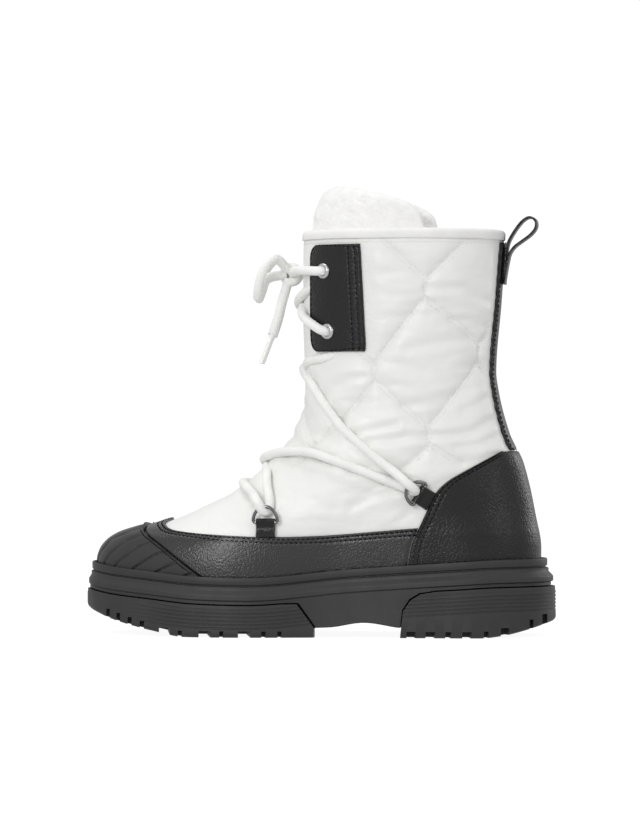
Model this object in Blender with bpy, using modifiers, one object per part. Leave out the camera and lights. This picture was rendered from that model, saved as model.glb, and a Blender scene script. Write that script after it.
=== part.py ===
"""Winter boot for the left foot, modelled as the pieces that a maker puts together.

Sizes are millimetres and become metres when a mesh is made. The toe points along -X, the outer
(lateral) side faces -Y, and the boot stands on Z = 0.

The last is a stack of level loops. A point on it is a level, which is its height above the ground at
the ball of the foot, and a turn round the loop: 0 at the back of the heel, pi at the front.
"""

import math

import bmesh
import bpy
import numpy as np
from mathutils import Matrix, Vector

MM = 0.001
GAP = 0.3
SIDES = (("lateral", 1), ("medial", -1))
BOX_FACES = ((0, 1, 2, 3), (7, 6, 5, 4), (0, 4, 5, 1), (1, 5, 6, 2), (2, 6, 7, 3), (3, 7, 4, 0))

# Heights of the last, as levels
FEATHER = 25.0
LEVEL_TRUE = 78.0
COLLAR = 239.0
THROAT_FOOT = 142.0

# The upper and its neighbours
WALL = 3.0
FLOOR_CLEAR = 0.5
TOE_SWING = 5.0
SIDE_SHIFT = -1.6
INSOLE_THICK = 4.0
TONGUE_THICK = 6.0
TONGUE_FOOT = 126.0
TONGUE_LEAN = 16.0
TONGUE_RISE = 25.5
TONGUE_RISES = (0.35, 0.62, 0.80, 0.92, 1.0)

# The sole
RECESS_SPREAD = 4.1
RECESS_DEPTH = 10.0
LIP_SPREAD = 5.6
FLARE = 4.2
FLARE_TO_HEEL = 1.2
WRAP_DROP = 16.5
RIB_PITCH = 3.0
RIB_DEPTH = 0.5
RIBS = 4
LUG_HEIGHT = 3.8
SOLE_REACH = 150.0
SOLE_COLUMNS = 22
FOREFOOT_END = 12.0
FOREFOOT_COLUMNS = 12
FOREFOOT_CHANNEL = (-100.0, -20.0)
HEEL_START = 44.0
HEEL_COLUMNS = 11
HEEL_CHANNEL = (66.0, 108.0)
INSOLE_COLUMNS = 16

# Overlays and trim
OVERLAY_GAP = 0.6
OVERLAY_FOOT = FEATHER + 1.2
RAND_THICK = 1.3
RAND_LIFT = 1.0
TOE_CAP_THICK = 2.2
COUNTER_THICK = 1.4
STRIP_THICK = 1.4
STRIP_HALF = 8.5
TAB_THICK = 1.5
BINDING_TALL = 5.2
BINDING_THICK = 0.8
LOOP_WIDTH = 12.0
EYELET_RADIUS = 3.7
EYELET_WIRE = 1.0
RING_WIRE = 1.0
RING_HALF = 7.4
RING_REACH = 9.5
RING_TILT = 25.0
RING_TAB_WIDTH = 11.4
RING_TAB_REACH = 6.2
RING_TAB_THICK = 2.2

# The lace
LACE_RADIUS = 2.65
LACE_STEP = 11.3
CROSS_LIFT = 0.25
LACE_SEAT = LACE_RADIUS + 1.3
LACE_OVER_TAB = LACE_SEAT + TAB_THICK

# Front profile of the last: distance along the boot and true height
FRONT = (
    # x, z
    (-132.5, 36.0),
    (-132.6, 44.0),
    (-131.0, 49.5),
    (-127.4, 54.0),
    (-121.0, 58.0),
    (-110.0, 61.6),
    (-95.0, 65.6),
    (-80.0, 71.2),
    (-65.8, 77.6),
    (-51.3, 84.8),
    (-39.2, 93.2),
    (-24.1, 107.4),
    (-16.5, 114.5),
    (-12.5, 124.5),
    (-9.3, 137.0),
    (-8.5, 148.0),
    (-9.7, 190.0),
    (-9.5, 228.0),
    (-8.6, 242.0),
)

# Back profile of the last
BACK = (
    # x, z
    (130.5, 36.0),
    (130.6, 52.0),
    (127.5, 70.4),
    (120.3, 101.5),
    (112.0, 119.0),
    (105.2, 145.0),
    (103.8, 156.0),
    (107.0, 198.0),
    (109.0, 226.0),
    (110.5, 242.0),
)

# Girths: share of the loop's length that is rounded at each end, how square that rounding is,
# then half widths at four stations along the loop
GIRTHS = (
    # level, heel end, toe end, heel power, toe power, heel, waist, ball, toe
    (25.0, 0.17, 0.25, 2.1, 2.3, 33.0, 33.5, 46.0, 41.5),
    (42.0, 0.18, 0.26, 2.1, 2.3, 34.5, 35.5, 47.0, 42.0),
    (56.0, 0.19, 0.28, 2.1, 2.3, 34.5, 36.5, 45.5, 41.0),
    (66.0, 0.21, 0.34, 2.0, 2.4, 33.5, 37.0, 43.0, 40.0),
    (75.0, 0.24, 0.42, 2.0, 2.4, 32.8, 37.5, 41.5, 39.5),
    (90.0, 0.30, 0.48, 2.0, 2.4, 32.8, 38.0, 40.0, 38.5),
    (110.0, 0.38, 0.50, 2.0, 2.2, 34.0, 38.5, 38.5, 38.0),
    (130.0, 0.46, 0.50, 2.0, 2.0, 36.5, 39.0, 39.0, 38.5),
    (158.0, 0.50, 0.50, 2.0, 2.0, 39.5, 39.5, 39.5, 39.5),
    (200.0, 0.50, 0.50, 2.0, 2.0, 43.5, 43.5, 43.5, 43.5),
    (240.0, 0.50, 0.50, 2.0, 2.0, 47.5, 47.5, 47.5, 47.5),
)
STATIONS = (0.12, 0.42, 0.70, 0.90)
# How much wider the inner (medial) half is at each station
MEDIAL_EXTRA = (0.0, -3.0, 0.0, 3.0)

# Height of the sole's lip and of the tread along the boot
LIP = (
    # x, z
    (-139.0, 43.4),
    (-121.0, 40.6),
    (-97.0, 38.3),
    (-66.0, 35.6),
    (-36.0, 35.0),
    (24.0, 40.2),
    (84.0, 44.2),
    (114.0, 45.8),
    (138.0, 46.0),
)
TREAD = (
    # x, z
    (-141.0, 16.6),
    (-133.0, 13.8),
    (-117.0, 8.6),
    (-95.0, 3.6),
    (-72.0, 0.0),
    (100.0, 0.0),
    (112.0, 1.2),
    (126.0, 4.4),
    (141.0, 9.4),
)
ARCH = (
    # x, z
    (0.0, 5.6),
    (12.0, 6.0),
    (32.0, 8.8),
    (52.0, 6.0),
)

# Steps of the midsole's wall: spread from the feather line, share of the flare, drop below the lip
MIDSOLE_STEPS = (
    # spread, flare share, drop
    (RECESS_SPREAD, 0.0, RECESS_DEPTH),
    (RECESS_SPREAD, 0.0, 0.0),
    (LIP_SPREAD - 0.6, 0.0, 0.0),
    (LIP_SPREAD, 0.0, 0.7),
    (LIP_SPREAD, 0.0, 4.3),
    (LIP_SPREAD - 1.1, 0.0, 5.3),
    (LIP_SPREAD, 0.25, 6.4),
    (LIP_SPREAD, 0.50, 9.4),
    (LIP_SPREAD, 0.62, 10.0),
    (LIP_SPREAD, 0.62, 12.2),
    (LIP_SPREAD, 0.40, 12.9),
    (LIP_SPREAD, 0.45, 18.0),
)

# Notches between the lugs: place along the boot, width, reach inwards from the sole's edge
NOTCHES_FOREFOOT = (
    # x, width, reach
    (-89.0, 7.5, 34.0),
    (-76.0, 2.2, 12.0),
    (-63.0, 7.0, 44.0),
    (-50.5, 2.2, 12.0),
    (-38.5, 7.0, 46.0),
    (-26.5, 2.2, 12.0),
    (-16.5, 2.2, 12.0),
)
NOTCHES_HEEL = (
    # x, width, reach
    (61.0, 4.6, 14.0),
    (72.0, 5.6, 34.0),
    (82.7, 3.4, 14.0),
    (94.0, 5.4, 32.0),
    (105.3, 2.4, 12.0),
    (115.6, 4.6, 20.0),
)
NOTCH_SLANT = 0.22
CHANNEL_HALF = 2.5

# Top edge of the tongue: share of its half width, true height
TONGUE_TOP = (
    # share, z
    (0.0, COLLAR + TONGUE_RISE),
    (0.35, COLLAR + TONGUE_RISE - 1.5),
    (0.60, COLLAR + 20.0),
    (0.80, COLLAR + 16.5),
    (0.93, COLLAR + 10.0),
    (1.0, COLLAR - 3.0),
)

# Edges of the overlays on the last
TOE_CAP_EDGE = (
    # level, x
    (OVERLAY_FOOT, -53.0),
    (34.0, -63.0),
    (40.0, -72.0),
    (46.0, -81.4),
    (52.0, -91.0),
    (56.5, -99.0),
    (60.5, -103.2),
    (62.6, -102.4),
)
COUNTER_EDGE = (
    # level, x
    (OVERLAY_FOOT, 56.5),
    (40.0, 58.0),
    (50.0, 59.6),
    (62.0, 63.6),
    (73.0, 68.0),
    (85.5, 74.2),
    (91.8, 80.6),
    (97.0, 89.0),
    (104.0, 101.4),
    (109.0, 110.0),
)
RAND_TOP = (
    # turn in degrees, level
    (64.5, 62.6),
    (93.0, 58.6),
    (118.0, 59.2),
    (138.0, 60.6),
    (156.0, 63.8),
    (180.0, 67.6),
)
TAB_ROWS = (
    # level, rear turn and front turn in degrees
    (168.0, 105.5, 143.0),
    (171.0, 105.0, 147.0),
    (190.0, 106.0, 149.0),
    (209.0, 107.5, 149.0),
    (228.0, 109.0, 147.0),
    (231.0, 109.5, 143.0),
)
EYELETS = (
    # name, x, level
    ("lower", 10.4, 180.0),
    ("upper", 8.4, 215.5),
)
RINGS = (
    # name, x, level, lean of the tab away from upright in degrees
    ("front", -25.6, 66.6, 0.0),
    ("rear", 64.6, 84.0, 57.0),
)

# Side view of the pull loop: a folded strap, sewn down at its foot
LOOP_OUTER = (
    # x, z
    (110.1, 208.0),
    (110.9, 220.0),
    (111.6, 228.0),
    (113.0, 234.0),
    (116.6, 240.4),
    (120.8, 245.8),
    (124.8, 248.3),
    (128.2, 248.0),
    (130.6, 245.0),
    (130.2, 240.6),
    (126.8, 236.4),
    (121.8, 232.8),
    (117.6, 229.6),
    (114.9, 225.4),
    (113.8, 218.4),
    (113.0, 208.0),
)
LOOP_HOLE = (
    # x, z
    (113.6, 228.6),
    (114.5, 233.0),
    (118.0, 239.3),
    (122.0, 244.4),
    (125.3, 246.6),
    (127.4, 246.4),
    (128.8, 244.8),
    (128.4, 241.4),
    (125.5, 237.8),
    (120.6, 234.1),
    (116.2, 230.6),
)

# Routes of the lace on the lateral side; a turn of 180 is the middle of the front
VAMP_ROUTE = (
    # x, level
    (-31.5, 79.5),
    (-36.0, 83.5),
    (-40.5, 87.0),
)
VAMP_MIDDLE = 89.5
INSTEP_FRONT = (
    # x, level
    (-24.5, 81.0),
    (-26.0, 88.0),
    (-27.5, 96.0),
)
INSTEP_MIDDLE = 103.5
INSTEP_REAR = (
    # x, level
    (-16.0, 109.0),
    (0.0, 107.5),
    (17.0, 102.5),
    (34.0, 96.5),
    (49.5, 90.5),
)
ANKLE_REAR = (
    # x, level
    (58.5, 92.5),
    (42.0, 102.5),
    (30.0, 112.0),
    (19.0, 122.0),
    (7.5, 136.5),
    (-1.5, 150.0),
)
ANKLE_MIDDLE = 158.0
ANKLE_FRONT = (
    # x, level
    (-4.5, 162.0),
    (3.0, 164.0),
)
# Over the tabs the route also has its height above the last
COLLAR_START = (
    # turn in degrees, level, height above the last
    (146.0, 184.0, LACE_OVER_TAB),
    (157.0, 189.0, LACE_OVER_TAB),
    (168.0, 193.5, LACE_OVER_TAB - 0.8),
)
COLLAR_MIDDLE = (180.0, 197.5, LACE_SEAT + 0.3)
COLLAR_END = (
    # turn in degrees, level, height above the last
    (168.0, 201.5, LACE_SEAT),
    (155.5, 205.4, LACE_SEAT),
)
KNOT_ROUTE = (
    # turn in degrees, level, height above the last
    (147.5, 216.0, LACE_OVER_TAB),
    (160.0, 216.5, LACE_OVER_TAB + 0.2),
    (170.0, 216.0, LACE_OVER_TAB + 1.0),
)
KNOT_MIDDLE = (180.0, 214.5, 7.5)
KNOT_RADII = (6.5, 7.5, 6.5)
KNOT_CLEAR = 0.8

# Free runs of the bow on the lateral side, measured from the middle of the knot
BOW_LOOP = (
    # forwards, sideways, up
    (4.0, 7.0, 7.4),
    (7.0, 13.5, 9.2),
    (11.5, 18.5, 6.0),
    (15.0, 20.5, -1.0),
    (17.0, 19.0, -9.0),
    (18.0, 14.0, -14.0),
    (16.6, 9.4, -9.5),
    (13.6, 7.8, -2.5),
    (9.6, 6.2, 0.5),
)
BOW_END = (
    # forwards, sideways, up
    (4.0, 5.4, -9.8),
    (4.6, 7.2, -16.5),
    (6.0, 9.0, -23.5),
    (7.8, 11.0, -30.5),
    (9.6, 13.0, -36.5),
)
BOW_TIP = (16.0, 16.5, -54.0)
AGLET_RADIUS = 1.4

# Rows and columns of the upper
UPPER_COLUMNS = 36
UPPER_LEVELS = (
    FEATHER + FLOOR_CLEAR, 44.0, 50.0, 54.5, 58.5, 62.5, 67.0, 73.0, 81.0, 90.0, 99.0, 107.0,
    114.0, 122.0, 131.0, THROAT_FOOT, 156.0, 180.0, COLLAR - 30.0, COLLAR,
)
TOE_CAP_LEVELS = (OVERLAY_FOOT, 36.0, 44.0, 50.0, 54.5, 58.5, 62.3)
COUNTER_LEVELS = (OVERLAY_FOOT, 36.0, 44.0, 54.5, 67.0, 81.0, 90.0, 96.0, 101.0, 105.0, 108.8)
STRIP_LEVELS = (109.6, 114.0, 122.0, 131.0, 142.0, 156.0, 180.0, 209.0, COLLAR - BINDING_TALL - 1.0)
OVERLAY_COLUMNS = 13


def curve_through(table, at):
    """Smooth curve through a table's two columns, with no overshoot, held level past its ends."""
    xs = np.array([row[0] for row in table], float)
    ys = np.array([row[1] for row in table], float)
    steps = np.diff(xs)
    slopes = np.diff(ys) / steps
    tangents = np.zeros_like(ys)
    tangents[0] = slopes[0]
    tangents[-1] = slopes[-1]
    for i in range(1, len(xs) - 1):
        if slopes[i - 1] * slopes[i] > 0:
            tangents[i] = 2 * slopes[i - 1] * slopes[i] / (slopes[i - 1] + slopes[i])
    at = np.clip(np.asarray(at, float), xs[0], xs[-1])
    i = np.clip(np.searchsorted(xs, at) - 1, 0, len(xs) - 2)
    t = (at - xs[i]) / steps[i]
    rise = ys[i] * (1 + 2 * t) * (1 - t) ** 2 + ys[i + 1] * t**2 * (3 - 2 * t)
    lean = tangents[i] * t * (1 - t) ** 2 - tangents[i + 1] * t**2 * (1 - t)
    return rise + steps[i] * lean


def smooth_step(low, high, at):
    """Goes from 0 at low to 1 at high with no corner."""
    t = np.clip((np.asarray(at, float) - low) / (high - low), 0.0, 1.0)
    return t * t * (3 - 2 * t)


def lip_height(x):
    return curve_through(LIP, x)


def height(level, x):
    """True height of a level: it follows the sole's line at the foot and is flat higher up."""
    lift = lip_height(x) - RECESS_DEPTH - FEATHER
    return level + lift * (1 - smooth_step(FEATHER, LEVEL_TRUE, level))


def level_at(x, z):
    """The level whose true height at x is z."""
    low, high = 0.0, 400.0
    for _ in range(50):
        middle = (low + high) / 2
        if height(middle, x) < z:
            low = middle
        else:
            high = middle
    return low


FRONT_LEVELS = [(level_at(x, z), x) for x, z in FRONT]
BACK_LEVELS = [(level_at(x, z), x) for x, z in BACK]


def girth(column, level):
    return curve_through([(row[0], row[column]) for row in GIRTHS], level)


def rounding(share, end, power):
    """Width factor near an end of a loop: 0 at its tip, 1 where the rounding stops."""
    left = np.clip(1 - share / end, 0.0, 1.0)
    return (1 - left**power) ** (1 / power)


def half_width(level, share, medial):
    """Half width of a loop at a share of its length from the heel."""
    side = np.where(medial, 0.5, -0.5) * (1 - smooth_step(FEATHER, 110.0, level))
    widths = [girth(5 + k, level) + MEDIAL_EXTRA[k] * side for k in range(4)]
    width = widths[0]
    for k in range(3):
        width = width + (widths[k + 1] - widths[k]) * smooth_step(STATIONS[k], STATIONS[k + 1], share)
    heel = rounding(share, girth(1, level), girth(3, level))
    toe = rounding(1 - share, girth(2, level), girth(4, level))
    return width * heel * toe


def surface(level, turn):
    """Point on the outside of the last."""
    level, turn = np.broadcast_arrays(np.asarray(level, float), np.asarray(turn, float))
    back = curve_through(BACK_LEVELS, level)
    front = curve_through(FRONT_LEVELS, level)
    share = (1 - np.cos(turn)) / 2
    x = back + (front - back) * share
    medial = np.sin(turn) < 0
    swing = TOE_SWING * smooth_step(10.0, 130.0, -x) * (1 - smooth_step(60.0, 100.0, level))
    y = SIDE_SHIFT + swing + np.where(medial, 1, -1) * half_width(level, share, medial)
    return np.stack([x, y, height(level, x)], axis=-1)


def last(level, turn, out=0.0):
    """Point at a distance outside the last, along its normal."""
    step = 0.002
    up = surface(np.asarray(level) + 0.2, turn) - surface(np.asarray(level) - 0.2, turn)
    along = surface(level, np.asarray(turn) + step) - surface(level, np.asarray(turn) - step)
    normal = np.cross(up, along)
    normal /= np.linalg.norm(normal, axis=-1, keepdims=True)
    return surface(level, turn) + normal * np.asarray(out, float)[..., None]


def turn_at(level, x):
    """Turn on the lateral side of a level at a place along the boot."""
    back = curve_through(BACK_LEVELS, level)
    front = curve_through(FRONT_LEVELS, level)
    return np.arccos(np.clip(1 - 2 * (x - back) / (front - back), -1.0, 1.0))


def feather(turn, spread):
    """Plan of the feather line, spread outwards in its own plane."""
    step = 0.002
    here = surface(FEATHER, turn)[..., :2]
    along = surface(FEATHER, turn + step)[..., :2] - surface(FEATHER, turn - step)[..., :2]
    along /= np.linalg.norm(along, axis=-1, keepdims=True)
    outwards = np.stack([-along[..., 1], along[..., 0]], axis=-1)
    return here + outwards * np.asarray(spread, float)[..., None]


def sole_ring(turns, spread, share, z_of):
    """One loop of the sole; z_of gives its height from the place along the boot."""
    plain = feather(turns, np.full_like(turns, spread))
    reach = spread + share * (FLARE + FLARE_TO_HEEL * plain[:, 0] / 140.0)
    plan = feather(turns, reach)
    return np.column_stack([plan, z_of(plan[:, 0])])


def both_sides(lateral_turns):
    """Turns down the lateral side and back along the medial side, in mirrored pairs."""
    return np.concatenate([lateral_turns, 2 * math.pi - lateral_turns[::-1]])


def clear_scene():
    for item in list(bpy.data.objects):
        bpy.data.objects.remove(item, do_unlink=True)


def new_collection(name):
    collection = bpy.data.collections.new(name)
    bpy.context.scene.collection.children.link(collection)
    return collection


def new_material(name, colour, roughness, metallic=0.0):
    material = bpy.data.materials.new(name)
    material.use_nodes = True
    shader = material.node_tree.nodes["Principled BSDF"]
    shader.inputs["Base Color"].default_value = (*colour, 1.0)
    shader.inputs["Roughness"].default_value = roughness
    shader.inputs["Metallic"].default_value = metallic
    return material


def add_object(name, points, faces, material=None):
    """A mesh object from points in millimetres: a part if it has a material, or else a cutter."""
    mesh = bpy.data.meshes.new(name)
    mesh.from_pydata([tuple(p * MM for p in point) for point in points], [], faces)
    mesh.update()
    return link_mesh(name, mesh, material)


def link_mesh(name, mesh, material):
    item = bpy.data.objects.new(name, mesh)
    if material:
        mesh.materials.clear()
        mesh.materials.append(material)
        parts.objects.link(item)
        item.parent = boot
    else:
        cutters.objects.link(item)
        item.hide_render = True
        item.display_type = "WIRE"
    return item


def recalculate(item):
    """Points the faces of a closed mesh outwards and shades it smooth."""
    mesh = bmesh.new()
    mesh.from_mesh(item.data)
    bmesh.ops.recalc_face_normals(mesh, faces=mesh.faces)
    mesh.to_mesh(item.data)
    mesh.free()
    item.data.shade_smooth()
    item.data.set_sharp_from_angle(angle=math.radians(35))


def ring_solid(name, rings, material=None):
    """Solid between stacked loops, closed across the first and last loop by pairs of their points."""
    count = len(rings[0])
    points = np.concatenate(rings)
    faces = []
    for r in range(len(rings) - 1):
        for c in range(count):
            after = (c + 1) % count
            low, high = r * count, (r + 1) * count
            faces.append((low + c, low + after, high + after, high + c))
    for start in (0, (len(rings) - 1) * count):
        for c in range(count // 2 - 1):
            far = count - 1 - c
            faces.append((start + c, start + c + 1, start + far - 1, start + far))
    item = add_object(name, points, faces, material)
    recalculate(item)
    return item


def split_quad(corners, points):
    """Two triangles of a quad, along the diagonal that lies further out."""
    a, b, c, d = (points[corner] for corner in corners)
    bulge = np.dot(a + c - b - d, np.cross(c - a, d - b))
    i, j, k, m = corners
    return [(i, j, k), (i, k, m)] if bulge > 0 else [(i, j, m), (j, k, m)]


def sheet(name, points, material, thick, outwards, closed=False, skip=None):
    """Open sheet through a grid of points (rows up, columns along the turn), given thickness."""
    rows, columns = points.shape[:2]
    flat = points.reshape(-1, 3)
    faces = []
    for r in range(rows - 1):
        for c in range(columns if closed else columns - 1):
            after = (c + 1) % columns
            low, high = r * columns, (r + 1) * columns
            quad = (low + c, high + c, high + after, low + after)
            if skip is None or not skip(r, c):
                faces += split_quad(quad, flat) if outwards else [quad]
    used = sorted({corner for face in faces for corner in face})
    rank = {corner: i for i, corner in enumerate(used)}
    faces = [tuple(rank[corner] for corner in face) for face in faces]
    item = add_object(name, flat[used], faces, material)
    solidify = item.modifiers.new("Thickness", "SOLIDIFY")
    solidify.thickness = thick * MM
    solidify.offset = 1.0 if outwards else -1.0
    item.data.shade_smooth()
    return item


def prism(name, outline, half):
    """Cutter: a side-view outline carried across the boot."""
    count = len(outline)
    points = [(x, -half, z) for x, z in outline] + [(x, half, z) for x, z in outline]
    faces = [tuple(range(count)), tuple(range(2 * count - 1, count - 1, -1))]
    for i in range(count):
        after = (i + 1) % count
        faces.append((i, after, count + after, count + i))
    item = add_object(name, points, faces)
    recalculate(item)
    return item


def cut(item, cutter, operation="DIFFERENCE"):
    boolean = item.modifiers.new(cutter.name, "BOOLEAN")
    boolean.operation = operation
    boolean.solver = "EXACT"
    boolean.object = cutter


def wrap_line(x_from, x_to, lift):
    """Top edge of a rubber wrap, as points along the boot."""
    xs = np.linspace(x_from, x_to, 14)
    return [(x, float(lip_height(x)) - WRAP_DROP + lift) for x in xs]


def forefoot_outline(grow):
    """Side view of the forefoot wrap, with the slanted end at the arch."""
    end = [(-7.0 + grow, 19.6 + grow), (3.0 + grow, 5.6 + grow), (1.8 + grow, -5.0)]
    return wrap_line(-SOLE_REACH, -16.0, grow) + end + [(-SOLE_REACH, -5.0)]


def heel_outline(grow):
    """Side view of the heel wrap, with its rounded front corner."""
    front = [(53.0, -5.0), (55.4, 15.6), (59.6, 22.0), (65.4, 25.6)]
    front = [(x - grow, z + (grow if z > 0 else 0.0)) for x, z in front]
    return front + wrap_line(74.0, SOLE_REACH, grow) + [(SOLE_REACH, -5.0)]


def make_midsole(material):
    turns = both_sides((np.arange(SOLE_COLUMNS) + 0.5) * math.pi / SOLE_COLUMNS)
    rings = []
    for spread, share, drop in MIDSOLE_STEPS:
        rings.append(sole_ring(turns, spread, share, lambda x, d=drop: lip_height(x) - d))
    rings.append(sole_ring(turns, LIP_SPREAD, 0.5, lambda x: curve_through(ARCH, x)))
    midsole = ring_solid("midsole", rings, material)
    cut(midsole, prism("forefoot_bed", forefoot_outline(GAP), 90.0))
    cut(midsole, prism("heel_bed", heel_outline(GAP), 90.0))


def wrap_rings(turns):
    """Loops of a rubber wrap from its top down to the tread, with its level ribs."""
    rings = [sole_ring(turns, LIP_SPREAD, 0.82, lambda x: lip_height(x) - WRAP_DROP + 3.0)]
    rings.append(sole_ring(turns, LIP_SPREAD, 0.86, lambda x: lip_height(x) - WRAP_DROP - 1.0))
    for k in range(RIBS):
        for inset, down in ((RIB_DEPTH, 0.5), (0.0, 1.0)):
            drop = WRAP_DROP + 0.6 + RIB_PITCH * (k + down)
            rings.append(sole_ring(turns, LIP_SPREAD - inset, 0.95, lambda x, d=drop: lip_height(x) - d))
    return rings


def notch_cutter(name, rows, edge_of, side):
    """Slanted bars that cut the notches between lugs, in from one edge of the sole."""
    points = []
    faces = []
    for x, width, reach in rows:
        edge = edge_of(x, side)
        inner = edge - side * reach
        if inner * side < CHANNEL_HALF + 0.5:
            inner = side * (CHANNEL_HALF + 0.5)
        outer = edge + side * 6.0
        slant = NOTCH_SLANT * abs(outer - inner)
        base = len(points)
        for z in (-2.0, LUG_HEIGHT):
            z = z + float(curve_through(TREAD, x))
            points += [(x - width / 2, outer, z), (x + width / 2, outer, z)]
            points += [(x + width / 2 - slant, inner, z), (x - width / 2 - slant, inner, z)]
        faces += [tuple(base + i for i in corner) for corner in BOX_FACES]
    cutter = add_object(name, points, faces)
    recalculate(cutter)
    return cutter


def sole_edge(x, side):
    """Place of the sole's widest edge across the boot."""
    turn = turn_at(FEATHER, x)
    turn = turn if side < 0 else 2 * math.pi - turn
    return float(feather(np.array([turn]), np.array([LIP_SPREAD + FLARE]))[0, 1])


def make_outsole(name, turns, outline, notches, channel, material):
    rings = wrap_rings(turns)
    rings.append(sole_ring(turns, LIP_SPREAD, 0.95, lambda x: curve_through(TREAD, x) + 2.0))
    rings.append(sole_ring(turns, LIP_SPREAD - 1.0, 0.80, lambda x: curve_through(TREAD, x)))
    outsole = ring_solid(name, rings, material)
    cut(outsole, prism(name + "_side", outline, 90.0), "INTERSECT")
    for side, word in ((-1, "lateral"), (1, "medial")):
        cut(outsole, notch_cutter(name + "_notches_" + word, notches, sole_edge, side))
    x_from, x_to = channel
    base = [(x_from, -2.0), (x_to, -2.0), (x_to, LUG_HEIGHT), (x_from, LUG_HEIGHT)]
    cut(outsole, prism(name + "_channel", base, CHANNEL_HALF))


def make_sole(rubber, foam):
    make_midsole(foam)
    tip = math.pi * 0.5 / SOLE_COLUMNS
    turns = both_sides(np.linspace(float(turn_at(FEATHER, FOREFOOT_END)), math.pi - tip, FOREFOOT_COLUMNS))
    outline = forefoot_outline(0.0)
    make_outsole("outsole_forefoot", turns, outline, NOTCHES_FOREFOOT, FOREFOOT_CHANNEL, rubber)
    turns = both_sides(np.linspace(tip, float(turn_at(FEATHER, HEEL_START)), HEEL_COLUMNS))[::-1]
    make_outsole("outsole_heel", turns, heel_outline(0.0), NOTCHES_HEEL, HEEL_CHANNEL, rubber)


def make_insole(material):
    turns = both_sides((np.arange(INSOLE_COLUMNS) + 0.5) * math.pi / INSOLE_COLUMNS)
    inset = -WALL - 0.7
    floor = GAP - RECESS_DEPTH
    rings = [
        sole_ring(turns, inset, 0.0, lambda x: lip_height(x) + floor),
        sole_ring(turns, inset, 0.0, lambda x: lip_height(x) + floor + INSOLE_THICK - 1.0),
        sole_ring(turns, inset - 1.0, 0.0, lambda x: lip_height(x) + floor + INSOLE_THICK),
    ]
    ring_solid("insole", rings, material)


def make_upper(material):
    """The hollow wall of the boot, open underneath, at the collar and down the throat."""
    turns = np.arange(UPPER_COLUMNS) * 2 * math.pi / UPPER_COLUMNS
    levels = np.array(UPPER_LEVELS)
    points = surface(levels[:, None], turns[None, :])
    throat = (UPPER_COLUMNS // 2 - 1, UPPER_COLUMNS // 2)
    first = UPPER_LEVELS.index(THROAT_FOOT)
    sheet("upper", points, material, WALL, False, True, lambda r, c: r >= first and c in throat)


def make_tongue(material):
    """Wide tongue behind the throat; above the collar it stands up and leans back.

    Its columns and lower rows are some of the upper's own, so that the two stay evenly apart.
    """
    steps = np.array([-11, -10, -8, -6, -4, -2, -1, 0, 1, 2, 4, 6, 8, 10, 11])
    turns = math.pi + steps * 2 * math.pi / UPPER_COLUMNS
    top = curve_through(TONGUE_TOP, np.abs(steps) / steps[-1])
    low = [np.full(len(steps), level) for level in UPPER_LEVELS if TONGUE_FOOT < level < COLLAR]
    high = [low[-1] + share * (top - low[-1]) for share in TONGUE_RISES]
    levels = np.array(low + high)
    inset = WALL + 0.6 + 1.0 * smooth_step(COLLAR - 30.0, COLLAR - 10.0, levels)
    points = last(levels, turns[None, :], -inset)
    above = np.clip((levels - COLLAR) / TONGUE_RISE, 0.0, 1.0)
    points[..., 0] += TONGUE_LEAN * (1 - np.sqrt(1 - 0.96 * above**2))
    sheet("tongue", points, material, TONGUE_THICK, False)


def make_binding(material):
    """Tape folded over the collar's edge, from one side of the throat round to the other."""
    half = UPPER_COLUMNS // 2 - 1
    turns = np.arange(-half, half + 1) * 2 * math.pi / UPPER_COLUMNS
    outer = GAP + BINDING_THICK
    foot = COLLAR - BINDING_TALL
    bed = COLLAR + 0.7
    section = (
        (foot, outer),
        (bed + BINDING_THICK, outer),
        (bed + BINDING_THICK, -WALL - outer),
        (foot, -WALL - outer),
        (foot, -WALL - GAP),
        (bed, -WALL - GAP),
        (bed, GAP),
        (foot, GAP),
    )
    count = len(section)
    points = np.concatenate([[last(level, turn, out) for level, out in section] for turn in turns])
    faces = []
    for c in range(len(turns) - 1):
        for k in range(count):
            after = (k + 1) % count
            here, there = c * count, (c + 1) * count
            faces.append((here + k, here + after, there + after, there + k))
    tail = (len(turns) - 1) * count
    for start in (0, tail):
        for quad in ((0, 1, 6, 7), (1, 2, 5, 6), (2, 3, 4, 5)):
            faces.append(tuple(start + k for k in quad))
    binding = add_object("collar_binding", points, faces, material)
    recalculate(binding)


def make_toe_cap(material):
    levels = np.array(TOE_CAP_LEVELS)
    reach = math.pi - turn_at(levels, curve_through(TOE_CAP_EDGE, levels))
    turns = math.pi + reach[:, None] * np.linspace(-1.0, 1.0, OVERLAY_COLUMNS)[None, :]
    sheet("toe_cap", last(levels[:, None], turns, OVERLAY_GAP), material, TOE_CAP_THICK, True)


def make_counter(material):
    levels = np.array(COUNTER_LEVELS)
    reach = turn_at(levels, curve_through(COUNTER_EDGE, levels))
    turns = reach[:, None] * np.linspace(-1.0, 1.0, OVERLAY_COLUMNS)[None, :]
    sheet("heel_counter", last(levels[:, None], turns, OVERLAY_GAP), material, COUNTER_THICK, True)


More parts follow.
